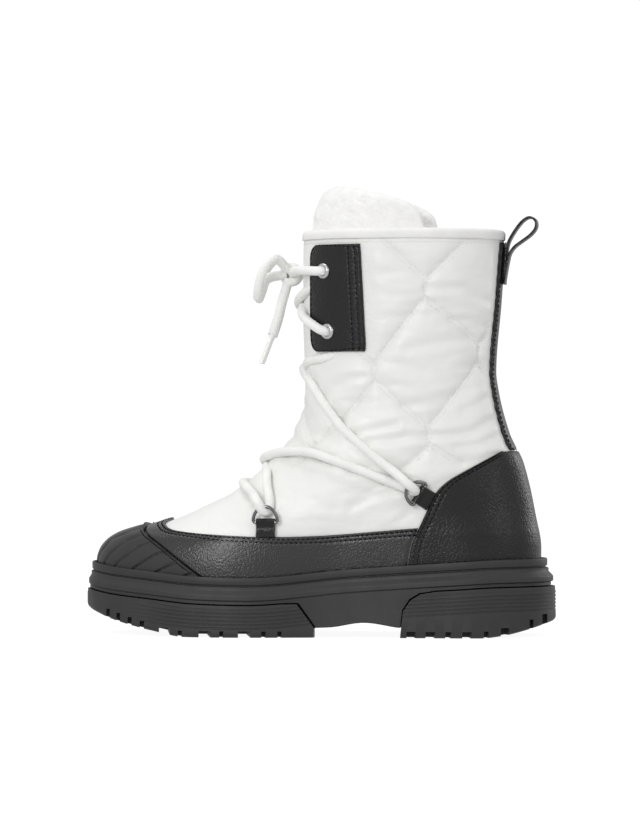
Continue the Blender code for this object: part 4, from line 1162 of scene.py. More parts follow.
def make_tongue(looks):
    """Wide fleece tongue behind the throat, which stands up above the collar and leans back."""
    share = np.linspace(-1.0, 1.0, TONGUE_COLUMNS)
    top = curve_through(TONGUE_TOP, np.abs(share))
    low = np.repeat(np.linspace(TONGUE_FOOT, TONGUE_TURN, 52)[:, None], TONGUE_COLUMNS, axis=1)
    rise = np.linspace(0.0, 1.0, 50)[1:, None]
    level = np.concatenate([low, TONGUE_TURN + rise * (top - TONGUE_TURN)[None, :]])
    turn = np.broadcast_to(math.pi + TONGUE_SPREAD * share, level.shape)
    inset = WALL + 0.6 + smooth_step(COLLAR - 30.0, COLLAR - 10.0, level)
    above = np.clip((level - COLLAR) / TONGUE_RISE, 0.0, 1.0)
    lean = TONGUE_LEAN * (1 - np.sqrt(1 - 0.96 * above**2))
    middle = last(level, turn, -inset - TONGUE_THICK / 2)
    edge = np.minimum.reduce(border_distance(middle))
    round_off = np.sqrt(1 - (1 - np.clip(edge / 3.6, 0.02, 1.0)) ** 2)
    half = TONGUE_THICK / 2 * np.maximum(round_off, 0.12)
    free = smooth_step(COLLAR - 4.0, COLLAR + 8.0, level)
    curls = (lumps(middle, 9.0, looks.tuft_seed) - 0.4) * 0.7 + (lumps(middle, 3.4, 3) - 0.5) * 0.5
    outer = last(level, turn, -inset - TONGUE_THICK / 2 + half + curls * free * round_off)
    inner = last(level, turn, -inset - TONGUE_THICK / 2 - half - (curls + 0.4) * round_off)
    outer[..., 0] += lean
    inner[..., 0] += lean
    tongue = closed_sheet("tongue_fleece", outer, inner, [finish("curly_fleece")])
    dress(tongue, "fleece", "tongue")


def make_insole(looks):
    turns = both_sides((np.arange(INSOLE_COLUMNS) + 0.5) * math.pi / INSOLE_COLUMNS)
    rings = []
    floor = INSOLE_GAP - RECESS_DEPTH
    for inset, rise in INSOLE_STEPS:
        rings.append(sole_ring(turns, INSOLE_INSET + inset, 0.0, lambda x, r=rise: lip_height(x) + floor + r))
    rings[-1][:, 2] += (lumps(rings[-1], 6.0, looks.tuft_seed) - 0.5) * 0.8
    insole = ring_solid("insole_fleece", rings, [finish("curly_fleece")])
    dress(insole, "fleece", "insole")


# Overlays

OVERLAY_GAP = 0.6
OVERLAY_FOOT = FEATHER + 1.2
TOE_CAP_THICK = 2.2
COUNTER_THICK = 1.4
RAND_THICK = 1.3
STRIP_THICK = 1.4
TAB_THICK = 1.5
TOE_CAP_TOP = 62.3
COUNTER_TOP = 108.8
# Turn in degrees of the rand's rear end before it is fitted to the counter, and gap to the pieces beside it
RAND_START = 64.0
RAND_GAP = 0.5
STRIP_FOOT = 109.6
STRIP_TOP = COLLAR - 6.2
STRIP_HALF = 8.5
# Level from which the shell is kept flat for the strip
STRIP_FROM = 100.0
# Distances of the seams from the edges
COUNTER_SEAMS = (2.2, 5.2)
RAND_SEAMS = (2.0, 4.6)
BORDER_SEAM = 1.8
TOE_CAP_EDGE = (
    # level, x
    (OVERLAY_FOOT, -53.0),
    (34.0, -63.0),
    (40.0, -72.0),
    (46.0, -81.4),
    (52.0, -91.0),
    (56.5, -99.0),
    (60.5, -103.2),
    (62.6, -102.4),
)
COUNTER_EDGE = (
    # level, x
    (OVERLAY_FOOT, 56.5),
    (40.0, 58.0),
    (50.0, 59.6),
    (62.0, 63.6),
    (73.0, 68.0),
    (85.5, 74.2),
    (91.8, 80.6),
    (97.0, 89.0),
    (104.0, 101.4),
    (109.0, 110.0),
)
RAND_TOP = (
    # turn in degrees, level
    (64.5, 62.6),
    (93.0, 58.6),
    (118.0, 59.2),
    (138.0, 60.6),
    (156.0, 63.8),
    (180.0, 67.6),
)
TAB_ROWS = (
    # level, rear turn and front turn in degrees
    (168.0, 105.5, 140.5),
    (168.6, 105.4, 143.6),
    (170.3, 105.1, 146.6),
    (173.0, 105.0, 148.4),
    (176.0, 105.2, 149.0),
    (209.0, 107.5, 149.0),
    (223.0, 108.6, 149.0),
    (226.0, 108.8, 148.4),
    (228.7, 109.2, 146.6),
    (230.4, 109.4, 143.6),
    (231.0, 109.5, 140.5),
)
TAB_FOLDS = (3.4, 7.4)
FAN = (
    # grooves of the toe cap in side view
    ((-76.5, 34.0), (-72.5, 36.1), (-69.4, 37.7)),
    ((-96.0, 35.0), (-89.6, 38.6), (-84.4, 41.2), (-78.4, 43.7)),
    ((-108.6, 36.6), (-105.0, 40.3), (-100.5, 43.1), (-94.7, 46.5), (-88.2, 49.3)),
    ((-119.0, 38.0), (-116.5, 42.5), (-112.8, 45.2), (-104.1, 51.3), (-96.4, 54.4)),
    ((-126.0, 39.5), (-124.1, 44.0), (-120.7, 47.9), (-111.6, 54.3), (-100.8, 58.2)),
    ((-132.4, 40.5), (-129.3, 46.9), (-122.5, 54.6), (-110.7, 59.2), (-102.6, 61.8)),
)
FAN_DEPTH = 1.0
FAN_WIDTH = 0.6


def toe_cap_grid():
    level = np.linspace(OVERLAY_FOOT, TOE_CAP_TOP, 90)
    reach = math.pi - turn_at(level, curve_through(TOE_CAP_EDGE, level))
    turn = math.pi + reach[:, None] * np.linspace(-1.0, 1.0, 300)[None, :]
    return np.broadcast_to(level[:, None], turn.shape), turn


def counter_grid():
    level = np.linspace(OVERLAY_FOOT, COUNTER_TOP, 90)
    reach = turn_at(level, curve_through(COUNTER_EDGE, level))
    turn = reach[:, None] * np.linspace(-1.0, 1.0, 180)[None, :]
    return np.broadcast_to(level[:, None], turn.shape), turn


def rand_grid():
    degrees = np.linspace(RAND_START, 360.0 - RAND_START, 330)
    lateral = np.minimum(degrees, 360.0 - degrees)
    top = curve_through(RAND_TOP, lateral)
    edge = [(math.degrees(float(turn_at(level, x))), level) for level, x in TOE_CAP_EDGE]
    foot = np.where(lateral > edge[0][0], curve_through(edge, lateral) + RAND_GAP, edge[0][1])
    level = foot[None, :] + np.linspace(0.0, 1.0, 36)[:, None] * (top - foot)[None, :]
    first = turn_at(level[:, 0], curve_through(COUNTER_EDGE, level[:, 0]) - RAND_GAP)
    share = (degrees - RAND_START) / (360.0 - 2 * RAND_START)
    turn = first[:, None] + share[None, :] * (2 * math.pi - 2 * first)[:, None]
    return level, turn


def strip_grid():
    level = np.linspace(STRIP_FOOT, STRIP_TOP, 120)
    reach = np.arcsin(STRIP_HALF / girth(HEEL_WIDTH, level)) * (1 + 0.04 * np.sin(level * 0.9))
    turn = reach[:, None] * np.linspace(-1.0, 1.0, 24)[None, :]
    return np.broadcast_to(level[:, None], turn.shape), turn


def tab_grid(sign):
    rows = np.linspace(TAB_ROWS[0][0], TAB_ROWS[-1][0], 80)
    rear = curve_through([(row[0], row[1]) for row in TAB_ROWS], rows)
    front = curve_through([(row[0], row[2]) for row in TAB_ROWS], rows)
    turn = np.radians(rear[:, None] + (front - rear)[:, None] * np.linspace(0.0, 1.0, 60)[None, :])
    level = np.broadcast_to(rows[:, None], turn.shape)
    return (level, turn) if sign > 0 else (level, (2 * math.pi - turn)[:, ::-1])


def overlay(name, grid, thick, finish_name, relief):
    """A piece that lies on the shell, with rounded edges and a relief from its edge distances."""
    level, turn = grid
    edges = border_distance(surface(level, turn))
    edge = np.clip(np.minimum.reduce(edges) / (0.9 * thick), 0.0, 1.0)
    out = OVERLAY_GAP + thick * edge_round(edge) + relief(level, turn, edges)
    outer = last(level, turn, out)
    inner = last(level, turn, np.full(level.shape, OVERLAY_GAP / 2))
    return closed_sheet(name, outer, inner, [finish(finish_name)])


def edge_round(edge):
    """Share of a sheet's thickness; edge is 0 at its border and 1 where the rounding stops."""
    return 0.45 + 0.55 * np.sqrt(1 - (1 - edge) ** 2)


def side_view(level, turn):
    plain = surface(level, turn)
    return np.stack([plain[..., 0], plain[..., 2]], axis=-1)


def toe_cap_relief(level, turn, edges):
    left, right, _, high = edges
    edge = np.minimum(np.minimum(left, right), high)
    relief = 0.9 * trough(edge - 1.2, 0.8) - 0.7 * trough(edge - 2.9, 0.5)
    places = side_view(level, turn)
    for line in FAN:
        relief = relief - FAN_DEPTH * trough(line_distance(places, line), FAN_WIDTH)
    return relief


def counter_relief(level, turn, edges):
    edge = np.minimum(edges[0], edges[1])
    near, far = COUNTER_SEAMS
    return 0.35 * trough(edge - 0.9, 0.7) - 0.4 * trough(edge - near, 0.55) - 0.4 * trough(edge - far, 0.55)


def rand_relief(level, turn, edges):
    high = edges[3]
    near, far = RAND_SEAMS
    return -0.45 * trough(high - near, 0.55) - 0.45 * trough(high - far, 0.55)


def border_relief(level, turn, edges):
    return -0.28 * trough(np.minimum.reduce(edges) - BORDER_SEAM, 0.5)


def tab_relief(level, turn, edges):
    """Stitched border, and two folds along the rear edge, which is the first column on the outer side."""
    rear, front = edges[:2] if turn[0, 0] < math.pi else edges[1::-1]
    border = np.minimum(front, np.minimum(edges[2], edges[3]))
    lap = smooth_step(TAB_FOLDS[1] + 0.6, TAB_FOLDS[1] - 0.6, rear)
    relief = -0.28 * trough(border - BORDER_SEAM, 0.5) + 0.3 * lap
    for fold in TAB_FOLDS:
        relief = relief - 0.4 * trough(rear - fold, 0.6)
    return relief


PULL_LINE = (
    # x, z along the strap, from its inner foot over the loop to its outer foot
    (110.9, 208.0),
    (111.7, 220.0),
    (112.3, 228.0),
    (113.7, 233.6),
    (117.3, 239.9),
    (121.4, 245.1),
    (125.0, 247.5),
    (127.8, 247.2),
    (129.8, 244.9),
    (129.4, 241.0),
    (126.2, 237.1),
    (121.2, 233.4),
    (117.0, 230.2),
    (114.2, 226.2),
    (112.9, 221.0),
    (111.8, 215.0),
    (110.8, 209.0),
)
PULL_HALF = 6.0
PULL_THICK_HALF = 0.7
PULL_SEAM = 4.4


def make_pull_loop():
    path = smooth_path([(x, 0.0, z) for x, z in PULL_LINE], 0.8)
    along = np.gradient(path, axis=0)
    along /= np.linalg.norm(along, axis=1, keepdims=True)
    normal = np.cross((0.0, 1.0, 0.0), along)
    across = np.linspace(-PULL_HALF, PULL_HALF, 21)
    edge = np.clip((PULL_HALF - np.abs(across)) / 0.8, 0.0, 1.0)
    half = PULL_THICK_HALF * edge_round(edge) - 0.2 * trough(np.abs(across) - PULL_SEAM, 0.4)
    spread = np.array([0.0, 1.0, 0.0]) * (across[None, :, None] + SIDE_SHIFT)
    outer = path[:, None, :] + spread + normal[:, None, :] * half[None, :, None]
    inner = path[:, None, :] + spread - normal[:, None, :] * half[None, :, None]
    loop = closed_sheet("pull_loop_strap", outer, inner, [finish("pebbled_leather")])
    face_outwards(loop)
    dress(loop, "leather", "pull_loop")


def make_overlays():
    cap = overlay("toe_cap_rubber", toe_cap_grid(), TOE_CAP_THICK, "ribbed_rubber", toe_cap_relief)
    dress(cap, "toe_rubber", "toe_cap")
    hide = "pebbled_leather"
    counter = overlay("heel_counter_leather", counter_grid(), COUNTER_THICK, hide, counter_relief)
    dress(counter, "leather", "heel_counter")
    rand = overlay("rand_leather", rand_grid(), RAND_THICK, "rand_hide", rand_relief)
    dress(rand, "leather", "rand")
    strip = overlay("back_strip_leather", strip_grid(), STRIP_THICK, hide, border_relief)
    dress(strip, "leather", "back_strip")
    for side, sign in SIDES:
        tab = overlay("eyelet_tab_" + side + "_leather", tab_grid(sign), TAB_THICK, hide, tab_relief)
        dress(tab, "leather", "eyelet_tab_" + side)
    make_pull_loop()


# Sole

LIP_SPREAD = 5.6
FLARE = 4.2
FLARE_TO_HEEL = 1.2
WRAP_DROP = 16.5
RIB_PITCH = 2.2
RIB_DEPTH = 0.4
RIB_START = (-112.0, -84.0)
RIBS = 6
LUG_HEIGHT = 3.8
LUG_RISE = 0.22
SOLE_REACH = 150.0
SOLE_HALF_LENGTH = 140.0
SOLE_COLUMNS = 110
# Half width of cutters, and the heights under the floor to which they go
CUT_HALF = 90.0
CUT_FOOT = -5.0
NOTCH_FOOT = -2.0
# How far notches go out past the sole's edge, and how far they stay from the centre channel
NOTCH_OVERRUN = 6.0
NOTCH_CLEAR = 0.5
FOREFOOT_END = 12.0
HEEL_START = 44.0
CHANNEL_HALF = 2.5
FOREFOOT_CHANNEL = (-100.0, -20.0)
HEEL_CHANNEL = (66.0, 108.0)
NOTCH_SLANT = 0.22
WRAP_GAP = 0.8
# Slanted end of the rearmost forefoot lug: x at its start, slope across the boot, foot, top, reach
LUG_END = (6.2, 0.17, -3.0, 5.4, 62.0)
BOX_FACES = ((0, 1, 2, 3), (7, 6, 5, 4), (0, 4, 5, 1), (1, 5, 6, 2), (2, 6, 7, 3), (3, 7, 4, 0))
FOREFOOT_TOP_END = -16.0
FOREFOOT_REAR = (
    # x, z of the forefoot wrap's rear end, from its top
    (-7.0, 19.6),
    (3.0, 5.6),
    (1.8, CUT_FOOT),
)
HEEL_TOP_START = 74.0
HEEL_FRONT = (
    # x, z of the heel wrap's front end, from its foot
    (53.0, CUT_FOOT),
    (55.4, 15.6),
    (59.6, 22.0),
    (65.4, 25.6),
)
TREAD = (
    # x, z
    (-141.0, 16.6),
    (-133.0, 13.8),
    (-117.0, 8.6),
    (-95.0, 3.6),
    (-72.0, 0.0),
    (100.0, 0.0),
    (112.0, 1.2),
    (126.0, 4.4),
    (141.0, 9.4),
)
ARCH = (
    # x, z
    (0.0, 5.6),
    (12.0, 6.0),
    (32.0, 8.8),
    (52.0, 6.0),
)
MIDSOLE_STEPS = (
    # spread, flare share, drop
    (RECESS_SPREAD, 0.0, RECESS_DEPTH),
    (RECESS_SPREAD, 0.0, 0.5),
    (RECESS_SPREAD + 0.3, 0.0, 0.0),
    (LIP_SPREAD - 0.6, 0.0, 0.0),
    (LIP_SPREAD - 0.15, 0.0, 0.25),
    (LIP_SPREAD, 0.0, 0.7),
    (LIP_SPREAD, 0.0, 4.0),
    (LIP_SPREAD - 0.2, 0.0, 4.4),
    (LIP_SPREAD - 1.1, 0.0, 4.8),
    (LIP_SPREAD - 1.1, 0.0, 5.2),
    (LIP_SPREAD - 0.2, 0.10, 5.6),
    (LIP_SPREAD, 0.14, 6.0),
    (LIP_SPREAD, 0.15, 7.6),
    (LIP_SPREAD, 0.18, 7.9),
    (LIP_SPREAD, 0.60, 10.2),
    (LIP_SPREAD, 0.65, 10.6),
    (LIP_SPREAD, 0.66, 11.1),
    (LIP_SPREAD, 0.66, 13.2),
    (LIP_SPREAD - 0.2, 0.62, 13.6),
    (LIP_SPREAD, 0.40, 14.0),
    (LIP_SPREAD, 0.45, 18.0),
)
NOTCHES_FOREFOOT = (
    # x, width, reach
    (-120.6, 2.2, 8.0),
    (-113.8, 2.2, 9.0),
    (-106.4, 2.4, 10.0),
    (-98.4, 2.6, 11.0),
    (-84.0, 6.4, 34.0),
    (-74.4, 2.4, 12.0),
    (-59.2, 7.0, 44.0),
    (-49.2, 2.4, 12.0),
    (-35.6, 7.6, 46.0),
    (-24.6, 2.6, 12.0),
    (-15.4, 2.4, 12.0),
)
NOTCHES_HEEL = (
    # x, width, reach
    (61.5, 5.4, 14.0),
    (72.8, 5.8, 16.0),
    (83.2, 3.4, 14.0),
    (94.1, 5.4, 16.0),
    (105.2, 2.8, 12.0),
    (115.8, 5.0, 20.0),
    (130.2, 2.6, 10.0),
    (137.0, 3.4, 7.0),
)


def feather(turn, spread):
    """Plan of the feather line, spread outwards in its own plane."""
    here = surface(FEATHER, turn)[..., :2]
    along = surface(FEATHER, turn + TURN_STEP)[..., :2] - surface(FEATHER, turn - TURN_STEP)[..., :2]
    along /= np.linalg.norm(along, axis=-1, keepdims=True)
    outwards = np.stack([-along[..., 1], along[..., 0]], axis=-1)
    return here + outwards * np.asarray(spread, float)[..., None]


def sole_ring(turns, spread, share, z_of):
    """One loop of the sole; z_of gives its height from the place along the boot."""
    plain = feather(turns, np.full_like(turns, spread))
    reach = spread + share * (FLARE + FLARE_TO_HEEL * plain[:, 0] / SOLE_HALF_LENGTH)
    plan = feather(turns, reach)
    return np.column_stack([plan, z_of(plan[:, 0])])


def both_sides(lateral_turns):
    return np.concatenate([lateral_turns, 2 * math.pi - lateral_turns[::-1]])


def ring_solid(name, rings, finishes):
    """Solid between stacked loops, closed across the first and last loop by pairs of their points."""
    count = len(rings[0])
    faces = list(grid_faces(len(rings), count, True).reshape(-1, 4))
    for start in (0, (len(rings) - 1) * count):
        for c in range(count // 2 - 1):
            far = count - 1 - c
            faces.append((start + c, start + c + 1, start + far - 1, start + far))
    item = add_piece(name, np.array(rings), faces, finishes)
    face_outwards(item)
    return item


def cutter(points, faces):
    item = add_piece("cutter", points, faces, [])
    face_outwards(item)
    return item


def prism(outline, half):
    """Cutter: a side-view outline carried across the boot."""
    count = len(outline)
    points = [(x, -half, z) for x, z in outline] + [(x, half, z) for x, z in outline]
    faces = [tuple(range(count)), tuple(range(2 * count - 1, count - 1, -1))]
    for i in range(count):
        after = (i + 1) % count
        faces.append((i, after, count + after, count + i))
    return cutter(points, faces)


def cut(item, tool, operation="DIFFERENCE"):
    """Cuts a piece and removes the tool."""
    boolean = item.modifiers.new("Cut", "BOOLEAN")
    boolean.operation = operation
    boolean.solver = "EXACT"
    boolean.object = tool
    bake(item, 30)
    bpy.data.objects.remove(tool, do_unlink=True)


def wrap_line(x_from, x_to, lift):
    xs = np.linspace(x_from, x_to, 40)
    return [(x, float(lip_height(x)) - WRAP_DROP + lift) for x in xs]


def forefoot_outline(grow):
    """Side view of the forefoot wrap, grown by a gap."""
    end = [(x + grow, z + (grow if z > 0 else 0.0)) for x, z in FOREFOOT_REAR]
    return wrap_line(-SOLE_REACH, FOREFOOT_TOP_END, grow) + end + [(-SOLE_REACH, CUT_FOOT)]


def heel_outline(grow):
    """Side view of the heel wrap, grown by a gap."""
    front = [(x - grow, z + (grow if z > 0 else 0.0)) for x, z in HEEL_FRONT]
    return front + wrap_line(HEEL_TOP_START, SOLE_REACH, grow) + [(SOLE_REACH, CUT_FOOT)]


def sole_edge(x, side):
    """Place of the sole's widest edge across the boot."""
    turns = np.linspace(0.0, math.pi, 400)
    plan = feather(turns if side < 0 else 2 * math.pi - turns, np.full(400, LIP_SPREAD + FLARE))
    order = np.argsort(plan[:, 0])
    return float(np.interp(x, plan[order, 0], plan[order, 1]))


def notch_cutter(rows, side):
    """Slanted bars that cut the notches between lugs, in from one edge of the sole."""
    points, faces = [], []
    for x, width, reach in rows:
        edge = sole_edge(x, side)
        inner = edge - side * reach
        if inner * side < CHANNEL_HALF + NOTCH_CLEAR:
            inner = side * (CHANNEL_HALF + NOTCH_CLEAR)
        outer = edge + side * NOTCH_OVERRUN
        slant = NOTCH_SLANT * abs(outer - inner)
        base = len(points)
        tread = float(curve_through(TREAD, x))
        for z in (tread + NOTCH_FOOT, tread + LUG_HEIGHT + LUG_RISE * tread):
            points += [(x - width / 2, outer, z), (x + width / 2, outer, z)]
            points += [(x + width / 2 - slant, inner, z), (x - width / 2 - slant, inner, z)]
        faces += [tuple(base + i for i in corner) for corner in BOX_FACES]
    return cutter(points, faces)


def rib_ring(turns, inset, drop, clear):
    """One loop of the ribs, which fade towards the toe and stay clear of the tread."""
    def height_of(x):
        return np.maximum(lip_height(x) - drop, curve_through(TREAD, x) + clear)

    plain = sole_ring(turns, LIP_SPREAD, 0.95, height_of)
    sunk = sole_ring(turns, LIP_SPREAD - inset, 0.95, height_of)
    return plain + (sunk - plain) * smooth_step(RIB_START[0], RIB_START[1], plain[:, :1])


def wrap_rings(turns):
    """Loops of a rubber wrap from its top down to the tread, with its level ribs."""
    rings = [sole_ring(turns, LIP_SPREAD, 0.82, lambda x: lip_height(x) - WRAP_DROP + 3.0)]
    rings.append(sole_ring(turns, LIP_SPREAD, 0.88, lambda x: lip_height(x) - WRAP_DROP - 1.9))
    for k in range(RIBS):
        for inset, down in ((RIB_DEPTH, 0.12), (RIB_DEPTH, 0.36), (0.08, 0.50), (0.08, 0.98)):
            drop = RIB_PITCH * (k + down)
            clear = 2.1 + 0.04 * (RIBS * RIB_PITCH - drop)
            rings.append(rib_ring(turns, inset, WRAP_DROP + 1.8 + drop, clear))
    rings.append(sole_ring(turns, LIP_SPREAD, 0.95, lambda x: curve_through(TREAD, x) + 2.0))
    rings.append(sole_ring(turns, LIP_SPREAD - 0.3, 0.90, lambda x: curve_through(TREAD, x) + 0.7))
    rings.append(sole_ring(turns, LIP_SPREAD - 1.0, 0.80, lambda x: curve_through(TREAD, x)))
    return rings


def lug_end_cutter():
    """Wedge that slants the end of the rearmost forefoot lug towards the toe on the medial side."""
    start, slope, foot, top, reach = LUG_END
    stop = start + 40.0
    plan = [(start, -reach), (stop, -reach), (stop, reach), (start - 2 * reach * slope, reach)]
    return cutter([(x, y, z) for z in (foot, top) for x, y in plan], BOX_FACES)


def make_outsole(node, turns, outline, notches, channel, end=None):
    outsole = ring_solid(node + "_rubber", wrap_rings(turns), [finish("moulded_rubber")])
    cut(outsole, prism(outline, CUT_HALF), "INTERSECT")
    if end:
        cut(outsole, end)
    for side in (-1, 1):
        cut(outsole, notch_cutter(notches, side))
    x_from, x_to = channel
    base = [(x_from, NOTCH_FOOT), (x_to, NOTCH_FOOT), (x_to, LUG_HEIGHT), (x_from, LUG_HEIGHT)]
    cut(outsole, prism(base, CHANNEL_HALF))
    dress(outsole, "sole_rubber", node)


def make_sole():
    turns = both_sides((np.arange(SOLE_COLUMNS) + 0.5) * math.pi / SOLE_COLUMNS)
    rings = []
    for spread, share, drop in MIDSOLE_STEPS:
        rings.append(sole_ring(turns, spread, share, lambda x, d=drop: lip_height(x) - d))
    rings.append(sole_ring(turns, LIP_SPREAD, 0.5, lambda x: curve_through(ARCH, x)))
    midsole = ring_solid("midsole_cup", rings, [finish("moulded_rubber")])
    cut(midsole, prism(forefoot_outline(WRAP_GAP), CUT_HALF))
    cut(midsole, prism(heel_outline(WRAP_GAP), CUT_HALF))
    dress(midsole, "sole_foam", "midsole")
    tip = math.pi * 0.5 / SOLE_COLUMNS
    lateral = np.linspace(float(turn_at(FEATHER, FOREFOOT_END)), math.pi - tip, 80)
    outline = forefoot_outline(0.0)
    make_outsole(
        "outsole_forefoot", both_sides(lateral), outline, NOTCHES_FOREFOOT, FOREFOOT_CHANNEL, lug_end_cutter()
    )
    lateral = np.linspace(tip, float(turn_at(FEATHER, HEEL_START)), 70)
    make_outsole("outsole_heel", both_sides(lateral)[::-1], heel_outline(0.0), NOTCHES_HEEL, HEEL_CHANNEL)


# Hardware

EYELETS = (
    # name, x, level
    ("lower", 10.4, 180.0),
    ("upper", 8.4, 215.5),
)
EYELET_SECTION = (
    # distance from its middle, height above the tab
    (2.7, -1.6),
    (2.7, 0.7),
    (3.0, 1.35),
    (3.6, 1.6),
    (4.2, 1.35),
    (4.65, 0.6),
    (4.7, 0.05),
    (3.6, -0.1),
)
EYELET_SIDES = 48
RINGS = (
    # name, x, level, lean of the tab away from upright in degrees, length of its tail
    ("front", -25.6, 66.6, 0.0, 8.4),
    ("rear", 64.6, 84.0, 57.0, 8.2),
)
RING_WIRE = 1.0
RING_HALF = 7.4
RING_REACH = 9.5
RING_TILT = 25.0
RING_TAB_WIDTH = 11.4
RING_TAB_THICK = 2.2
RING_GAP = 0.3


def seat(level, turn, out, lean=0.0):
    """Frame on the last: a point, then directions along the surface, out of it and across it."""
    out_of = last(level, turn, 1.0) - last(level, turn)
    out_of /= np.linalg.norm(out_of)
    upright = np.array([0.0, 0.0, 1.0]) - out_of * out_of[2]
    upright /= np.linalg.norm(upright)
    forwards = np.cross(upright, out_of)
    if forwards[0] > 0:
        forwards = -forwards
    along = upright * math.cos(math.radians(lean)) + forwards * math.sin(math.radians(lean))
    return last(level, turn, out), along, out_of, np.cross(along, out_of)


def make_eyelets():
    for word, x, level in EYELETS:
        for side, sign in SIDES:
            turn = (sign * float(turn_at(level, x))) % (2 * math.pi)
            point, along, out_of, across = seat(level, turn, OVERLAY_GAP + TAB_THICK)
            angles = np.arange(EYELET_SIDES) * 2 * math.pi / EYELET_SIDES
            round_it = np.cos(angles)[:, None] * across + np.sin(angles)[:, None] * along
            rings = []
            for ray in round_it:
                rings.append([point + ray * reach + out_of * rise for reach, rise in EYELET_SECTION])
            rings = np.array(rings)
            node = f"eyelet_{word}_{side}"
            eyelet = add_piece(node + "_metal", rings, tube_faces(rings, True), [finish("bright_eyelet")], 60)
            face_outwards(eyelet)
            dress(eyelet, "eyelet_metal", node)


def make_rings():
    for word, x, level, lean, tail in RINGS:
        for side, sign in SIDES:
            turn = (sign * float(turn_at(level, x))) % (2 * math.pi)
            out = RING_WIRE + RING_GAP + RING_TAB_THICK / 2 + OVERLAY_GAP
            make_ring(f"{word}_{side}", tail, *seat(level, turn, out, lean))


def make_ring(name, tail, point, along, out_of, across):
    """A wire ring with a straight bar and a round bow, and the leather folded round its bar."""
    tilt = math.radians(RING_TILT)
    rise = along * math.cos(tilt) + out_of * math.sin(tilt)
    angles = np.radians(np.linspace(8.0, 172.0, 30))
    bow = [(RING_HALF * math.cos(angle), RING_REACH * math.sin(angle)) for angle in angles]
    bar = [(aside, 0.0) for aside in np.linspace(-RING_HALF + 0.7, RING_HALF - 0.7, 12)]
    path = np.array([point + across * aside + rise * up for aside, up in bar + bow])
    rings = tube_rings(path, RING_WIRE, 16, True)
    ring = add_piece(f"d_ring_{name}_wire", rings, tube_faces(rings, True), [finish("dark_wire")])
    face_outwards(ring)
    dress(ring, "ring_metal", "d_ring_" + name)
    shell = RING_WIRE + RING_GAP + RING_TAB_THICK / 2
    fold = [(-tail, -shell + 0.6), (-5.0, -shell + RING_TAB_THICK), (-3.0, -shell + RING_TAB_THICK + 0.4)]
    angles = np.radians(np.linspace(90.0, -90.0, 17))
    fold += [(shell * math.cos(angle), shell * math.sin(angle)) for angle in angles]
    fold += [(-tail, -shell)]
    fold = smooth_path([(up, out, 0.0) for up, out in fold], 0.4)[:, :2]
    wide = np.linspace(-1.0, 1.0, 25)
    half = RING_TAB_WIDTH / 2
    pinch = np.sqrt(1 - np.clip((np.abs(wide) - 0.9) / 0.1, 0.0, 1.0) ** 2)
    pinch = 0.55 + 0.45 * pinch
    rings = []
    for aside, thin in zip(wide, pinch):
        rings.append([
            point + along * up + out_of * (out * thin - shell * (1 - thin)) + across * (half * aside)
            for up, out in fold
        ])
    rings = np.array(rings)
    tab = add_piece(f"d_ring_tab_{name}_leather", rings, tube_faces(rings), [finish("pebbled_leather")], 50)
    face_outwards(tab)
    dress(tab, "leather", "d_ring_tab_" + name)


# Stitches

# Shares of a border along which its stitches run
COUNTER_SPAN = (0.12, 0.97)
TAB_SPAN = (0.03, 0.97)
# Turns in degrees of the seam under the collar's tape, on each side
COLLAR_SEAM_TURNS = ((12.0, 172.0), (188.0, 348.0))
# Radius of the quilting's thread, and lengths of stitches as shares of their pitch
QUILT_THREAD = 0.26
QUILT_STITCH = 0.72
DARK_STITCH = 0.74


def stitch_tree():
    """Geometry nodes that lay stitches along polylines, at an even pitch."""
    tree = bpy.data.node_groups.new("Stitches", "GeometryNodeTree")
    tree.interface.new_socket(name="Geometry", in_out="INPUT", socket_type="NodeSocketGeometry")
    for label, value in (("Pitch", 2.9 * MM), ("Length", 2.1 * MM), ("Radius", 0.36 * MM)):
        socket = tree.interface.new_socket(name=label, in_out="INPUT", socket_type="NodeSocketFloat")
        socket.default_value = value
    tree.interface.new_socket(name="Thread", in_out="INPUT", socket_type="NodeSocketMaterial")
    tree.interface.new_socket(name="Geometry", in_out="OUTPUT", socket_type="NodeSocketGeometry")
    given = tree.nodes.new("NodeGroupInput")
    result = tree.nodes.new("NodeGroupOutput")
    line = add_node(tree, "GeometryNodeMeshToCurve", {"Mesh": given.outputs["Geometry"]})
    even = add_node(
        tree, "GeometryNodeResampleCurve",
        {"Curve": line.outputs[0], "Length": given.outputs["Pitch"]}, mode="LENGTH",
    )
    half = math_node(tree, "MULTIPLY", given.outputs["Length"], 0.5)
    size = add_node(
        tree, "ShaderNodeCombineXYZ",
        {"X": given.outputs["Radius"], "Y": given.outputs["Radius"], "Z": half},
    )
    ball = add_node(tree, "GeometryNodeMeshUVSphere", {"Segments": 6, "Rings": 4, "Radius": 1.0})
    stitch = add_node(
        tree, "GeometryNodeTransform", {"Geometry": ball.outputs["Mesh"], "Scale": size.outputs[0]}
    )
    tangent = tree.nodes.new("GeometryNodeInputTangent")
    turned = add_node(tree, "FunctionNodeAlignRotationToVector", {"Vector": tangent.outputs[0]}, axis="Z")
    laid = add_node(
        tree, "GeometryNodeInstanceOnPoints",
        {"Points": even.outputs[0], "Instance": stitch.outputs[0], "Rotation": turned.outputs[0]},
    )
    real = add_node(tree, "GeometryNodeRealizeInstances", {"Geometry": laid.outputs[0]})
    smooth = add_node(tree, "GeometryNodeSetShadeSmooth", {"Geometry": real.outputs[0]})
    dyed = add_node(
        tree, "GeometryNodeSetMaterial", {"Geometry": smooth.outputs[0], "Material": given.outputs["Thread"]}
    )
    tree.links.new(dyed.outputs[0], result.inputs[0])


